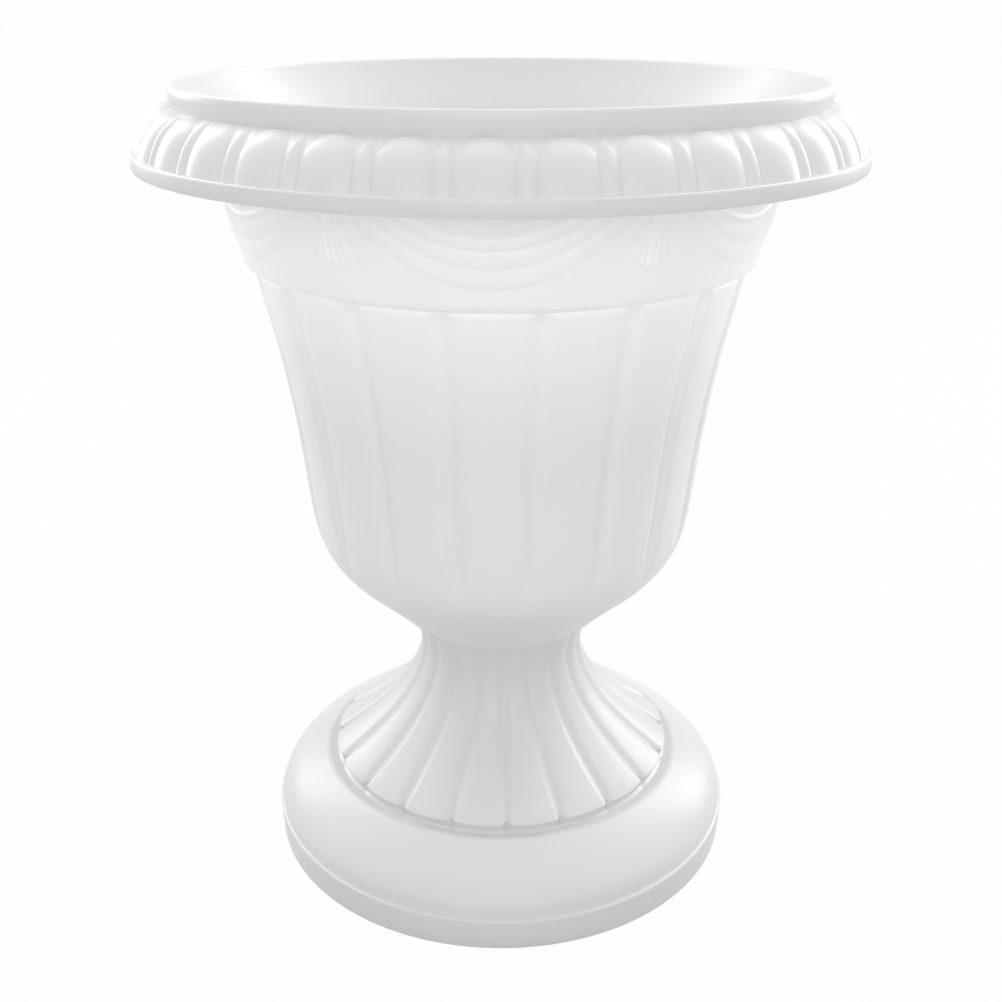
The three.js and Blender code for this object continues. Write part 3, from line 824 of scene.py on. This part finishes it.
@dataclass
class Pedestal:
    """The hollow foot: plinth band, torus, fluted flare and neck, and the web the bolt pulls on."""

    grooves: Grooves = field(default_factory=lambda: Grooves(
        20, 3.8, ((37.0, 1.6), (41.0, 2.6), (50.0, 3.6), (65.0, 4.5), (84.0, 6.0), (95.0, 6.4)),
        0.4, 0.6))
    groove_depth: float = 2.3
    neck_groove_depth: float = 0.85
    wall: float = 2.6
    plinth: float = 12.8
    torus_foot: tuple[float, float] = (94.1, 15.6)
    torus_control: tuple[float, float] = (92.6, 24.4)
    torus_top: tuple[float, float] = (73.6, 33.7)
    flute_end: tuple[float, float] = (70.3, 37.8)
    neck: tuple[float, float] = (33.1, 84.0)
    top: tuple[float, float] = (34.8, 94.7)
    flare_power: float = 1.95
    socket: float = 29.7
    web_bottom: float = 79.9
    web_top: float = 82.3
    drain_circle: float = 19.0
    drain_hole: float = 3.2

    def flare(self, rows: int) -> tuple[Array, Array]:
        """The line of the fluted flare and how deep its grooves are.

        The radius grows from the neck by a power of the share of the way down to the flutes' end.

        Args:
            rows: How many points the line has.

        Returns:
            Radius and height of each point from the flutes' end up, and the depth at each.
        """
        rise = 1.0 - (1.0 - np.linspace(0.0, 1.0, rows))**1.35
        spread = (1.0 - rise)**self.flare_power
        line = np.stack([self.neck[0] + (self.flute_end[0] - self.neck[0]) * spread,
                         self.flute_end[1] + (self.neck[1] - self.flute_end[1]) * rise], axis=1)
        depth = self.neck_groove_depth + (self.groove_depth - self.neck_groove_depth) * spread
        return line, depth

    def build(self, finish: bpy.types.Material) -> None:
        """Makes the pedestal's two meshes, the shell and the web.

        The grooves draw the shell in from the flutes' end to the top, outside and inside alike.

        Args:
            finish: The material of the pedestal.
        """
        plinth = rounded([
            (92.7, 0.0, 0.0), (95.0, 0.0, 0.8), (95.6, self.plinth, 0.8),
            (94.5, self.plinth + 0.3, 0.4), self.torus_foot + (0.0,)], 4)
        torus = bend(self.torus_foot, self.torus_control, self.torus_top,
                     np.linspace(0.0, 1.0, 19))[1:]
        line, depth = self.flare(34)
        r, z = self.flute_end
        step = rounded([self.torus_top + (0.0,), (72.8, 33.6, 0.6), (r - 1.8, 33.1, 0.8),
                        (r + 0.15, z - 0.5, 0.4), tuple(line[1]) + (0.0,)], 4)[1:-1]
        top = rounded([tuple(line[-1]) + (0.0,), self.top + (0.5,),
                       (self.socket, self.top[1], 0.5), (self.socket, 79.6, 0.0)], 3)[1:]
        inner = np.vstack([torus, line[1:]])
        inner = (inner - self.wall * square_to(inner))[::-1]
        inner_depth = np.concatenate([np.zeros(len(torus)), depth[1:]])[::-1]
        keep = (inner[:, 0] > self.socket) & (inner[:, 1] < 77.3)
        section = np.vstack([plinth, torus, step, line[1:], top, inner[keep]])
        ends = smooth(34.4, 36.4, step[:, 1]) * self.groove_depth
        depths = np.concatenate([
            np.zeros(len(plinth) + len(torus)), ends, depth[1:],
            np.where(top[:, 0] > self.socket + 4.0, self.neck_groove_depth, 0.0),
            inner_depth[keep]])
        azimuths = self.grooves.azimuths(6.6, 24, 6)
        drawn = depths[:, None] * self.grooves.depth(azimuths, section[:, 1])
        shell = Piece("pedestal_shell", Body.PEDESTAL.value, Slot.PLASTIC, "pedestal")
        shell.ring(section[:, :1] - drawn, section[:, 1:] + 0.0 * drawn, azimuths)
        shell.place(finish)
        self.build_web(finish)

    def build_web(self, finish: bpy.types.Material) -> None:
        """Makes the web: a flat plate with a bolt hole and six drain holes.

        Args:
            finish: The material of the pedestal.
        """
        edge = self.socket + 0.6
        web = Piece("pedestal_web", Body.PEDESTAL.value, Slot.PLASTIC, "pedestal")
        web.turned(np.array([(0.0, self.web_bottom), (edge, self.web_bottom),
                             (edge, self.web_top), (0.0, self.web_top)]), 144)
        holes = [hole(4.3, self.web_bottom, self.web_top, 0.0, 0.0)]
        for index in range(6):
            turn = math.radians(30.0 + 60.0 * index)
            holes.append(hole(self.drain_hole, self.web_bottom, self.web_top,
                              self.drain_circle * math.sin(turn),
                              -self.drain_circle * math.cos(turn)))
        web.place(finish, *holes)


def slab(start: Array, end: Array, half_width: float, half_thickness: float,
         rows: int, columns: int) -> Array:
    """A rounded slab between two points in the XZ plane, as rows of points for Piece.pod.

    A row is an oval with flattened sides, square to the slab's length. The ovals keep their size
    along the slab and shrink to a point over its two round ends.

    Args:
        start: The slab's first end, X and Z.
        end: The slab's last end, X and Z.
        half_width: Half the slab's width, in the XZ plane.
        half_thickness: Half the slab's thickness, along Y.
        rows: How many rows the slab has.
        columns: How many points a row has.

    Returns:
        The rows' points, then the first end and the last end.
    """
    length = np.linalg.norm(end - start)
    ahead = (end - start) / length
    side = np.array([-ahead[1], ahead[0]])
    turn = np.linspace(-math.pi / 2, math.pi / 2, rows + 2)
    along = 0.5 * length * (1.0 + np.sign(np.sin(turn)) * np.abs(np.sin(turn))**0.75)
    size = np.cos(turn)**0.4
    angle = np.arange(columns) * 2.0 * math.pi / columns
    wide = half_width * np.sign(np.cos(angle)) * np.abs(np.cos(angle))**0.6
    thick = half_thickness * np.sign(np.sin(angle)) * np.abs(np.sin(angle))**0.6
    middle = start[None, :] + along[:, None] * ahead[None, :]
    flat = middle[1:-1, None, :] + size[1:-1, None, None] * wide[None, :, None] * side
    points = np.stack([flat[..., 0], size[1:-1, None] * thick[None, :], flat[..., 1]], axis=2)
    ends = np.array([[start[0], 0.0, start[1]], [end[0], 0.0, end[1]]])
    return np.vstack([points.reshape(-1, 3), ends])


@dataclass
class Clamp:
    """The bolt, its seal, the washer and the wing nut that hold the bowl on the pedestal."""

    bolt: float = 4.0
    thread_pitch: float = 1.25
    thread_depth: float = 0.62
    tip: float = 59.9
    thread_top: float = 79.5
    head_foot: float = 99.8
    head_top: float = 104.0
    head: float = 10.5
    nut_top: float = 77.7
    nut_bottom: float = 69.7
    nut: float = 7.2

    def build(self, nylon: bpy.types.Material, rubber: bpy.types.Material) -> None:
        """Makes the four pieces.

        Args:
            nylon: The material of the bolt, the washer and the nut.
            rubber: The material of the seal.
        """
        self.build_bolt(nylon)
        self.build_ring("seal_ring", Body.CLAMP, Slot.RUBBER, "bolt_seal", rubber,
                        12.0, 97.9, 99.5, 0.7)
        self.build_ring("washer_ring", Body.WASHER, Slot.NYLON, "clamp_washer", nylon,
                        13.0, 78.0, 79.6, 0.4)
        self.build_nut(nylon)

    def build_bolt(self, finish: bpy.types.Material) -> None:
        """Makes the bolt: a domed slotted head on a shank with a cut thread.

        The thread's radius falls from crest to root and back once per pitch, and its phase moves
        up by one pitch per turn.

        Args:
            finish: The material of the bolt.
        """
        sides = 48
        heights = np.arange(self.tip + 0.8, self.thread_top, self.thread_pitch / 8.0)
        low = np.array([(self.bolt - 0.8, self.tip), (self.bolt - 0.1, self.tip + 0.7)])
        high = rounded([
            (self.bolt, self.thread_top + 0.4, 0.0), (self.bolt, self.head_foot, 0.0),
            (self.head, self.head_foot, 0.5), (self.head, 101.6, 0.6), (8.6, 103.3, 1.4),
            (5.0, 103.95, 1.4), (2.0, self.head_top, 0.0), (0.5, self.head_top, 0.0)], 4)
        azimuths = np.arange(sides) * 360.0 / sides
        phase = (heights[:, None] / self.thread_pitch - azimuths[None, :] / 360.0) % 1.0
        cut = self.thread_depth * (1.0 - np.abs(2.0 * phase - 1.0))**0.9
        ends = smooth(self.tip + 0.6, self.tip + 2.4, heights) * (
            1.0 - smooth(self.thread_top - 1.6, self.thread_top, heights))
        even = np.ones((1, sides))
        radii = np.vstack([low[:, :1] * even, self.bolt - cut * ends[:, None], high[:, :1] * even])
        levels = np.vstack([low[:, 1:] * even, heights[:, None] * even, high[:, 1:] * even])
        points = on_axis(radii, levels, azimuths).reshape(-1, 3)
        ends = np.array([[0.0, 0.0, self.tip], [0.0, 0.0, self.head_top]])
        piece = Piece("bolt_turned", Body.CLAMP.value, Slot.NYLON, "clamp_bolt")
        piece.pod(np.vstack([points, ends]), len(radii), sides)
        slot = Piece("slot_cutter", Body.CLAMP.value, Slot.NYLON, "clamp_bolt")
        slot.pod(slab(np.array([-9.4, 103.9]), np.array([9.4, 103.9]), 1.5, 0.9, 22, 24), 22, 24)
        piece.place(finish, slot)

    def build_ring(self, name: str, body: Body, slot: Slot, solid: str,
                   finish: bpy.types.Material, radius: float, bottom: float, top: float,
                   rounding: float) -> None:
        """Makes a flat ring round the bolt with rounded edges.

        Args:
            name: The name of the piece.
            body: The body that it rides on.
            slot: The slot of its finish.
            solid: The solid that it stands for.
            finish: The material of the ring.
            radius: The ring's outer radius.
            bottom: The height of its underside.
            top: The height of its top.
            rounding: How far its edges are rounded.
        """
        bore = self.bolt + 0.3
        middle = (bore + radius) / 2.0
        section = rounded([
            (middle, bottom, 0.0), (radius, bottom, rounding), (radius, top, rounding),
            (bore, top, 0.3), (bore, bottom, 0.3), (middle, bottom, 0.0)], 4)[:-1]
        piece = Piece(name, body.value, slot, solid)
        piece.ring(section[:, 0], section[:, 1], np.arange(96) * 3.75)
        piece.place(finish)

    def build_nut(self, finish: bpy.types.Material) -> None:
        """Makes the wing nut: a turned hub with a bore, joined with two rounded ears.

        Args:
            finish: The material of the nut.
        """
        piece = Piece("wing_nut_moulded", Body.NUT.value, Slot.NYLON, "wing_nut")
        piece.turned(rounded([
            (0.0, self.nut_bottom, 0.0), (6.0, self.nut_bottom, 0.7), (6.9, 76.0, 0.6),
            (self.nut, 76.4, 0.2), (self.nut, self.nut_top, 0.3), (0.0, self.nut_top, 0.0)], 4), 64)
        hub = piece.made()
        for side in (-1.0, 1.0):
            ear = Piece("ear", Body.NUT.value, Slot.NYLON, "wing_nut")
            points = slab(np.array([3.4, 73.4]), np.array([16.9, 68.2]), 3.3, 1.4, 26, 28)
            turn = np.array([side, side, 1.0])
            ear.pod(points * turn, 26, 28)
            combine(hub, ear.made(), "UNION")
        bore = hole(self.bolt + 0.1, self.nut_bottom, self.nut_top, 0.0, 0.0)
        combine(hub, bore.made(), "DIFFERENCE")
        hub.data.shade_smooth()
        hub.data.set_sharp_from_angle(angle=SMOOTH_ANGLE)
        hub.data.materials.clear()
        hub.data.materials.append(finish)
        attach(hub, Body.NUT.value)
        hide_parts("wing_nut")
        log.info("wing_nut_moulded: %d faces, rides on nut", len(hub.data.polygons))


@dataclass
class DrainPlug:
    """A rubber plug in the bowl's floor: a stem with a soft barb, a head and a tab to pull."""

    number: int
    circle: float = 19.5

    def build(self, finish: bpy.types.Material) -> None:
        """Makes the plug.

        Args:
            finish: The material of the plug.
        """
        turn = math.radians(180.0 + 120.0 * (self.number - 1))
        x, y = self.circle * math.sin(turn), -self.circle * math.cos(turn)
        name = f"plug_{self.number}"
        piece = Piece(f"{name}_moulded", name, Slot.RUBBER, f"drain_plug_{self.number}")
        piece.turned(rounded([
            (0.0, 92.6, 0.0), (2.6, 92.6, 0.8), (3.7, 94.0, 0.5), (3.55, 95.4, 0.4),
            (3.7, 97.9, 0.0), (6.0, 97.9, 0.5), (6.0, 99.2, 0.5), (4.9, 99.7, 0.6),
            (0.0, 99.5, 0.0)], 4), 48, x, y)
        body = piece.made()
        tab = Piece("tab", name, Slot.RUBBER, f"drain_plug_{self.number}")
        flat = slab(np.array([0.0, 98.9]), np.array([0.0, 103.7]), 2.5, 0.8, 20, 28)
        tab.pod(flat + np.array([x, y, 0.0]), 20, 28)
        combine(body, tab.made(), "UNION")
        body.data.shade_smooth()
        body.data.set_sharp_from_angle(angle=SMOOTH_ANGLE)
        body.data.materials.clear()
        body.data.materials.append(finish)
        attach(body, name)
        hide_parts(f"drain_plug_{self.number}")
        log.info("%s_moulded: %d faces, rides on %s", name, len(body.data.polygons), name)


def shader_group(name: str, inputs: dict[str, float], outputs: list[str]) -> bpy.types.NodeTree:
    """Starts a shader node group whose sockets are all plain values.

    Args:
        name: The group's name.
        inputs: The name of each input and the value it has unless a material sets another.
        outputs: The name of each output.

    Returns:
        The group, with its two end nodes in it.
    """
    group = bpy.data.node_groups.new(name, "ShaderNodeTree")
    for label, value in inputs.items():
        socket = group.interface.new_socket(name=label, in_out="INPUT",
                                            socket_type="NodeSocketFloat")
        socket.default_value = value
    for label in outputs:
        group.interface.new_socket(name=label, in_out="OUTPUT", socket_type="NodeSocketFloat")
    group.nodes.new("NodeGroupInput")
    group.nodes.new("NodeGroupOutput")
    return group


class Effects:
    """The effects that the finishes share, each a node group that is built once."""

    def __init__(self) -> None:
        """Builds the groups."""
        self.grain = self.mould_grain()
        self.dust = self.settled_dust()
        self.painted_light = self.painted_light_up_wall()

    @staticmethod
    def noise(group: bpy.types.NodeTree, place: bpy.types.NodeSocket, scale: float,
              detail: float) -> bpy.types.NodeSocket:
        """Adds a noise of a fixed scale per metre and hands back its value."""
        node = group.nodes.new("ShaderNodeTexNoise")
        node.inputs["Scale"].default_value = scale
        node.inputs["Detail"].default_value = detail
        group.links.new(place, node.inputs["Vector"])
        return node.outputs["Fac"]

    @staticmethod
    def sum_of(group: bpy.types.NodeTree, operation: str, first: bpy.types.NodeSocket,
               second: bpy.types.NodeSocket | float) -> bpy.types.NodeSocket:
        """Adds a Math node for two values and hands back its result."""
        node = group.nodes.new("ShaderNodeMath")
        node.operation = operation
        group.links.new(first, node.inputs[0])
        if isinstance(second, float):
            node.inputs[1].default_value = second
        else:
            group.links.new(second, node.inputs[1])
        return node.outputs[0]

    def mould_grain(self) -> bpy.types.NodeTree:
        """The fine grain of a moulded surface, with slow unevenness under it.

        Returns:
            A group that puts out a height for a bump and a value round 0 for the gloss.
        """
        group = shader_group("mould_grain", {"Grain": 1.0, "Waviness": 1.0}, ["Height", "Gloss"])
        entry = group.nodes["Group Input"]
        leave = group.nodes["Group Output"]
        place = group.nodes.new("ShaderNodeTexCoord").outputs["Object"]
        fine = self.sum_of(group, "MULTIPLY", self.noise(group, place, 2600.0, 2.0),
                           entry.outputs["Grain"])
        slow = self.sum_of(group, "MULTIPLY", self.noise(group, place, 34.0, 2.0),
                           entry.outputs["Waviness"])
        group.links.new(self.sum_of(group, "ADD", fine, slow), leave.inputs["Height"])
        patch = self.sum_of(group, "SUBTRACT", self.noise(group, place, 60.0, 4.0), 0.5)
        group.links.new(patch, leave.inputs["Gloss"])
        return group

    def settled_dust(self) -> bpy.types.NodeTree:
        """A trace of dust on what faces up, broken up by noise.

        Returns:
            A group that puts out the dust's mask.
        """
        group = shader_group("settled_dust", {"Amount": 0.1}, ["Mask"])
        entry = group.nodes["Group Input"]
        leave = group.nodes["Group Output"]
        place = group.nodes.new("ShaderNodeTexCoord").outputs["Object"]
        facing = group.nodes.new("ShaderNodeSeparateXYZ")
        group.links.new(group.nodes.new("ShaderNodeNewGeometry").outputs["Normal"],
                        facing.inputs[0])
        up = self.sum_of(group, "MAXIMUM", facing.outputs["Z"], 0.0)
        speck = self.sum_of(group, "MULTIPLY", self.noise(group, place, 420.0, 5.0),
                            self.noise(group, place, 22.0, 3.0))
        mask = self.sum_of(group, "MULTIPLY", self.sum_of(group, "MULTIPLY", up, speck),
                           entry.outputs["Amount"])
        group.links.new(mask, leave.inputs["Mask"])
        return group


    def painted_light_up_wall(self) -> bpy.types.NodeTree:
        """Painted light: how much paler, and how much it glows, a wall's outside is drawn towards
        its top.

        Returns:
            A group that puts out a share from 0 at the height Low to 1 at the height High, 0 all
            over the inside, and a mask of the outside.
        """
        group = shader_group("painted_light_up_wall", {"Low": 0.1, "High": 0.3}, ["Share", "Outside"])
        entry = group.nodes["Group Input"]
        leave = group.nodes["Group Output"]
        place = group.nodes.new("ShaderNodeSeparateXYZ")
        group.links.new(group.nodes.new("ShaderNodeTexCoord").outputs["Object"], place.inputs[0])
        ramp = group.nodes.new("ShaderNodeMapRange")
        ramp.interpolation_type = "SMOOTHSTEP"
        group.links.new(place.outputs["Z"], ramp.inputs["Value"])
        group.links.new(entry.outputs["Low"], ramp.inputs["From Min"])
        group.links.new(entry.outputs["High"], ramp.inputs["From Max"])
        outward = group.nodes.new("ShaderNodeAttribute")
        outward.attribute_name = "outward"
        share = group.nodes.new("ShaderNodeMath")
        share.operation = "MULTIPLY"
        group.links.new(ramp.outputs["Result"], share.inputs[0])
        group.links.new(outward.outputs["Fac"], share.inputs[1])
        group.links.new(share.outputs[0], leave.inputs["Share"])
        group.links.new(outward.outputs["Fac"], leave.inputs["Outside"])
        return group


@dataclass(frozen=True)
class Moulded:
    """A moulded finish: its colour, its gloss, and how much grain and dust it shows."""

    name: str
    colour: tuple[float, float, float]
    tint: tuple[float, float, float]
    roughness: float
    gloss_spread: float
    grain_height: float
    dust: float
    # pale, pale_heights and glow are painted light: a wall's outside is drawn paler towards its top
    # and glows there.
    pale: tuple[float, float, float] | None = None
    pale_heights: tuple[float, float] = (0.18, 0.262)
    inside: tuple[float, float, float] = (0.765, 0.767, 0.773)
    glow: float = 0.0

    def material(self, effects: Effects) -> bpy.types.Material:
        """Builds the material.

        The colour moves a little towards the tint where the dust lies. On the outside of a wall it
        moves towards the paler colour higher up and glows a little there, which is painted light.
        The gloss varies in soft patches, and the grain's height goes through a bump.

        Args:
            effects: The shared node groups.

        Returns:
            The material.
        """
        material = bpy.data.materials.new(self.name)
        material.use_nodes = True
        nodes, links = material.node_tree.nodes, material.node_tree.links
        shader = nodes["Principled BSDF"]
        grain = nodes.new("ShaderNodeGroup")
        grain.node_tree = effects.grain
        grain.inputs["Grain"].default_value = 1.0
        grain.inputs["Waviness"].default_value = 1.0
        dust = nodes.new("ShaderNodeGroup")
        dust.node_tree = effects.dust
        dust.inputs["Amount"].default_value = self.dust
        blend = nodes.new("ShaderNodeMix")
        blend.data_type = "RGBA"
        blend.inputs["A"].default_value = (*self.colour, 1.0)
        blend.inputs["B"].default_value = (*self.tint, 1.0)
        links.new(dust.outputs["Mask"], blend.inputs["Factor"])
        if self.pale is not None:
            painted_light = nodes.new("ShaderNodeGroup")
            painted_light.node_tree = effects.painted_light
            painted_light.inputs["Low"].default_value = self.pale_heights[0]
            painted_light.inputs["High"].default_value = self.pale_heights[1]
            # Painted light: the outside is drawn paler up the wall.
            wall = nodes.new("ShaderNodeMix")
            wall.data_type = "RGBA"
            wall.inputs["A"].default_value = (*self.colour, 1.0)
            wall.inputs["B"].default_value = (*self.pale, 1.0)
            links.new(painted_light.outputs["Share"], wall.inputs["Factor"])
            sides = nodes.new("ShaderNodeMix")
            sides.data_type = "RGBA"
            sides.inputs["A"].default_value = (*self.inside, 1.0)
            links.new(painted_light.outputs["Outside"], sides.inputs["Factor"])
            links.new(wall.outputs["Result"], sides.inputs["B"])
            links.new(sides.outputs["Result"], blend.inputs["A"])
            # Painted light: an emission glow up the outside of the wall, where there is no lamp.
            through = nodes.new("ShaderNodeMix")
            through.data_type = "RGBA"
            through.inputs["A"].default_value = (0.0, 0.0, 0.0, 1.0)
            through.inputs["B"].default_value = (self.glow, self.glow, self.glow, 1.0)
            links.new(painted_light.outputs["Share"], through.inputs["Factor"])
            links.new(through.outputs["Result"], shader.inputs["Emission Color"])
            shader.inputs["Emission Strength"].default_value = 1.0
        links.new(blend.outputs["Result"], shader.inputs["Base Color"])
        gloss = nodes.new("ShaderNodeMath")
        gloss.operation = "MULTIPLY_ADD"
        gloss.inputs[1].default_value = self.gloss_spread
        gloss.inputs[2].default_value = self.roughness
        links.new(grain.outputs["Gloss"], gloss.inputs[0])
        links.new(gloss.outputs[0], shader.inputs["Roughness"])
        bump = nodes.new("ShaderNodeBump")
        bump.inputs["Strength"].default_value = 1.0
        bump.inputs["Distance"].default_value = self.grain_height * MILLIMETRE
        links.new(grain.outputs["Height"], bump.inputs["Height"])
        links.new(bump.outputs["Normal"], shader.inputs["Normal"])
        return material


@dataclass(frozen=True)
class SoftBox:
    """A soft light: where it stands, what it points at, its size and its power."""

    name: str
    spot: tuple[float, float, float]
    aim: tuple[float, float, float]
    size: tuple[float, float]
    power: float

    def build(self) -> None:
        """Puts the light in the scene."""
        light = bpy.data.lights.new(self.name, "AREA")
        light.shape = "RECTANGLE"
        light.size, light.size_y = self.size
        light.energy = self.power
        lamp = bpy.data.objects.new(self.name, light)
        lamp.location = self.spot
        lamp.rotation_euler = (Vector(self.aim) - Vector(self.spot)).to_track_quat(
            "-Z", "Y").to_euler()
        bpy.context.scene.collection.objects.link(lamp)


@dataclass
class Studio:
    """The pale floor that curves up behind, the soft lights, the world and the camera."""

    distance: float = 0.471967
    height: float = 0.339126
    pitch: float = 0.394
    turn: float = 2.0
    lens: float = 45.70
    white_share: float = 0.98
    world: float = 0.82
    lights: tuple[SoftBox, ...] = (
        SoftBox("left_softbox", (-0.94, 0.66, 0.8), (0.0, 0.0, 0.15), (0.4, 1.3), 7.6),
        SoftBox("front_softbox", (0.0, -1.3, 0.55), (0.0, 0.0, 0.24), (1.0, 0.6), 2.6),
        SoftBox("right_softbox", (0.94, 0.66, 0.8), (0.0, 0.0, 0.15), (0.4, 1.3), 9.1),
        SoftBox("top_softbox", (0.0, 0.35, 1.4), (0.0, 0.0, 0.2), (0.9, 0.9), 2.0),
    )

    def build(self) -> None:
        """Builds the whole studio."""
        self.build_camera()
        self.build_floor()
        self.build_world()
        for light in self.lights:
            light.build()
        bpy.context.scene.view_settings.view_transform = "Standard"

    def build_camera(self) -> None:
        """Puts the camera where the photograph was taken from."""
        camera = bpy.data.cameras.new("camera")
        camera.lens = self.lens
        camera.sensor_width = 36.0
        camera.clip_start = 0.01
        turn = math.radians(self.turn)
        eye = bpy.data.objects.new("camera", camera)
        eye.location = (self.distance * math.sin(turn), -self.distance * math.cos(turn),
                        self.height)
        eye.rotation_euler = (math.pi / 2.0 - self.pitch, 0.0, turn)
        bpy.context.scene.collection.objects.link(eye)
        bpy.context.scene.camera = eye

    def whitened(self, name: str, colour: tuple[float, float, float]) -> bpy.types.Material:
        """A matt material that the camera sees as nearly white, and that still takes a shadow.

        Args:
            name: The name of the material.
            colour: The matt colour.

        Returns:
            The material.
        """
        material = bpy.data.materials.new(name)
        material.use_nodes = True
        nodes, links = material.node_tree.nodes, material.node_tree.links
        matt = nodes["Principled BSDF"]
        matt.inputs["Base Color"].default_value = (*colour, 1.0)
        matt.inputs["Roughness"].default_value = 0.9
        matt.inputs["Specular IOR Level"].default_value = 0.0
        glow = nodes.new("ShaderNodeEmission")
        glow.inputs["Color"].default_value = (1.0, 1.0, 1.0, 1.0)
        glow.inputs["Strength"].default_value = 1.0
        path = nodes.new("ShaderNodeLightPath")
        seen = nodes.new("ShaderNodeMath")
        seen.operation = "MAXIMUM"
        links.new(path.outputs["Is Camera Ray"], seen.inputs[0])
        links.new(path.outputs["Is Glossy Ray"], seen.inputs[1])
        share = nodes.new("ShaderNodeMath")
        share.operation = "MULTIPLY"
        share.inputs[1].default_value = self.white_share
        links.new(seen.outputs[0], share.inputs[0])
        mix = nodes.new("ShaderNodeMixShader")
        links.new(share.outputs[0], mix.inputs["Fac"])
        links.new(matt.outputs["BSDF"], mix.inputs[1])
        links.new(glow.outputs["Emission"], mix.inputs[2])
        links.new(mix.outputs["Shader"], nodes["Material Output"].inputs["Surface"])
        return material

    def build_floor(self) -> None:
        """Makes the floor: a flat sheet that curves up into a wall behind the planter.

        Its line runs level to the start of the curve, then a quarter circle, then straight up.
        """
        bow, back, side, wall = 0.8, 1.6, 3.5, 4.0
        turn = np.linspace(0.0, math.pi / 2.0, 24)
        depth = np.concatenate([[-3.0], back + bow * np.sin(turn), [back + bow]])
        level = np.concatenate([[0.0], bow * (1.0 - np.cos(turn)), [wall]])
        points = np.stack([np.stack([np.full_like(depth, edge), depth, level], axis=1)
                           for edge in (-side, side)], axis=1).reshape(-1, 3)
        row = np.arange(len(depth) - 1)[:, None] * 2
        mesh = bpy.data.meshes.new("floor")
        mesh.from_pydata(points.tolist(), [], (row + np.array([[0, 1, 3, 2]])).tolist())
        mesh.shade_smooth()
        mesh.materials.append(self.whitened("pale_floor", (0.46, 0.46, 0.46)))
        floor = bpy.data.objects.new("floor", mesh)
        bpy.context.scene.collection.objects.link(floor)

    def build_world(self) -> None:
        """Gives the world an even pale light, which the camera sees as white."""
        world = bpy.data.worlds.new("studio")
        world.use_nodes = True
        nodes, links = world.node_tree.nodes, world.node_tree.links
        sky = nodes["Background"]
        sky.inputs["Color"].default_value = (1.0, 1.0, 1.0, 1.0)
        path = nodes.new("ShaderNodeLightPath")
        strength = nodes.new("ShaderNodeMath")
        strength.operation = "MULTIPLY_ADD"
        strength.inputs[1].default_value = 1.0 - self.world
        strength.inputs[2].default_value = self.world
        links.new(path.outputs["Is Camera Ray"], strength.inputs[0])
        links.new(strength.outputs[0], sky.inputs["Strength"])
        bpy.context.scene.world = world


# Painted shade: a darker copy of the white plastic for the pedestal.
PAINTED_SHADE_WHITE_PLASTIC = Moulded("white_plastic_painted_shade", (0.72, 0.722, 0.728), (0.62, 0.6, 0.57),
                              0.36, 0.06, 0.004, 0.05)
WHITE_PLASTIC = Moulded("white_plastic", (0.765, 0.767, 0.773), (0.62, 0.6, 0.57),
                        0.36, 0.06, 0.004, 0.05)
# Painted light: a lighter copy of the white plastic for the bowl's body and frieze, drawn paler and
# glowing towards the top.
PAINTED_LIGHT_WHITE_PLASTIC = Moulded("white_plastic_painted_light", (0.9, 0.902, 0.907), (0.62, 0.6, 0.57),
                             0.36, 0.06, 0.004, 0.05, (0.97, 0.971, 0.974), glow=0.12)
WHITE_NYLON = Moulded("white_nylon", (0.78, 0.775, 0.75), (0.6, 0.58, 0.55),
                      0.46, 0.08, 0.006, 0.08)
GREY_RUBBER = Moulded("grey_rubber", (0.075, 0.077, 0.08), (0.3, 0.29, 0.27),
                      0.7, 0.12, 0.02, 0.25)


def main() -> None:
    """Builds the planter's pieces, then the studio."""
    logging.basicConfig(level=logging.INFO, format="%(name)s: %(message)s")
    effects = Effects()
    plastic = WHITE_PLASTIC.material(effects)
    painted_shade_plastic = PAINTED_SHADE_WHITE_PLASTIC.material(effects)
    painted_light_plastic = PAINTED_LIGHT_WHITE_PLASTIC.material(effects)
    nylon = WHITE_NYLON.material(effects)
    rubber = GREY_RUBBER.material(effects)
    # The pedestal takes the copy with painted shade.
    Pedestal().build(painted_shade_plastic)
    BowlFloor().build(plastic)
    # The bowl's body and frieze take the copy with painted light.
    BowlBody().build(painted_light_plastic)
    Frieze().build(painted_light_plastic)
    Rim().build(plastic)
    Clamp().build(nylon, rubber)
    for number in (1, 2, 3):
        DrainPlug(number).build(rubber)
    Studio().build()


if __name__ == "__main__":
    main()
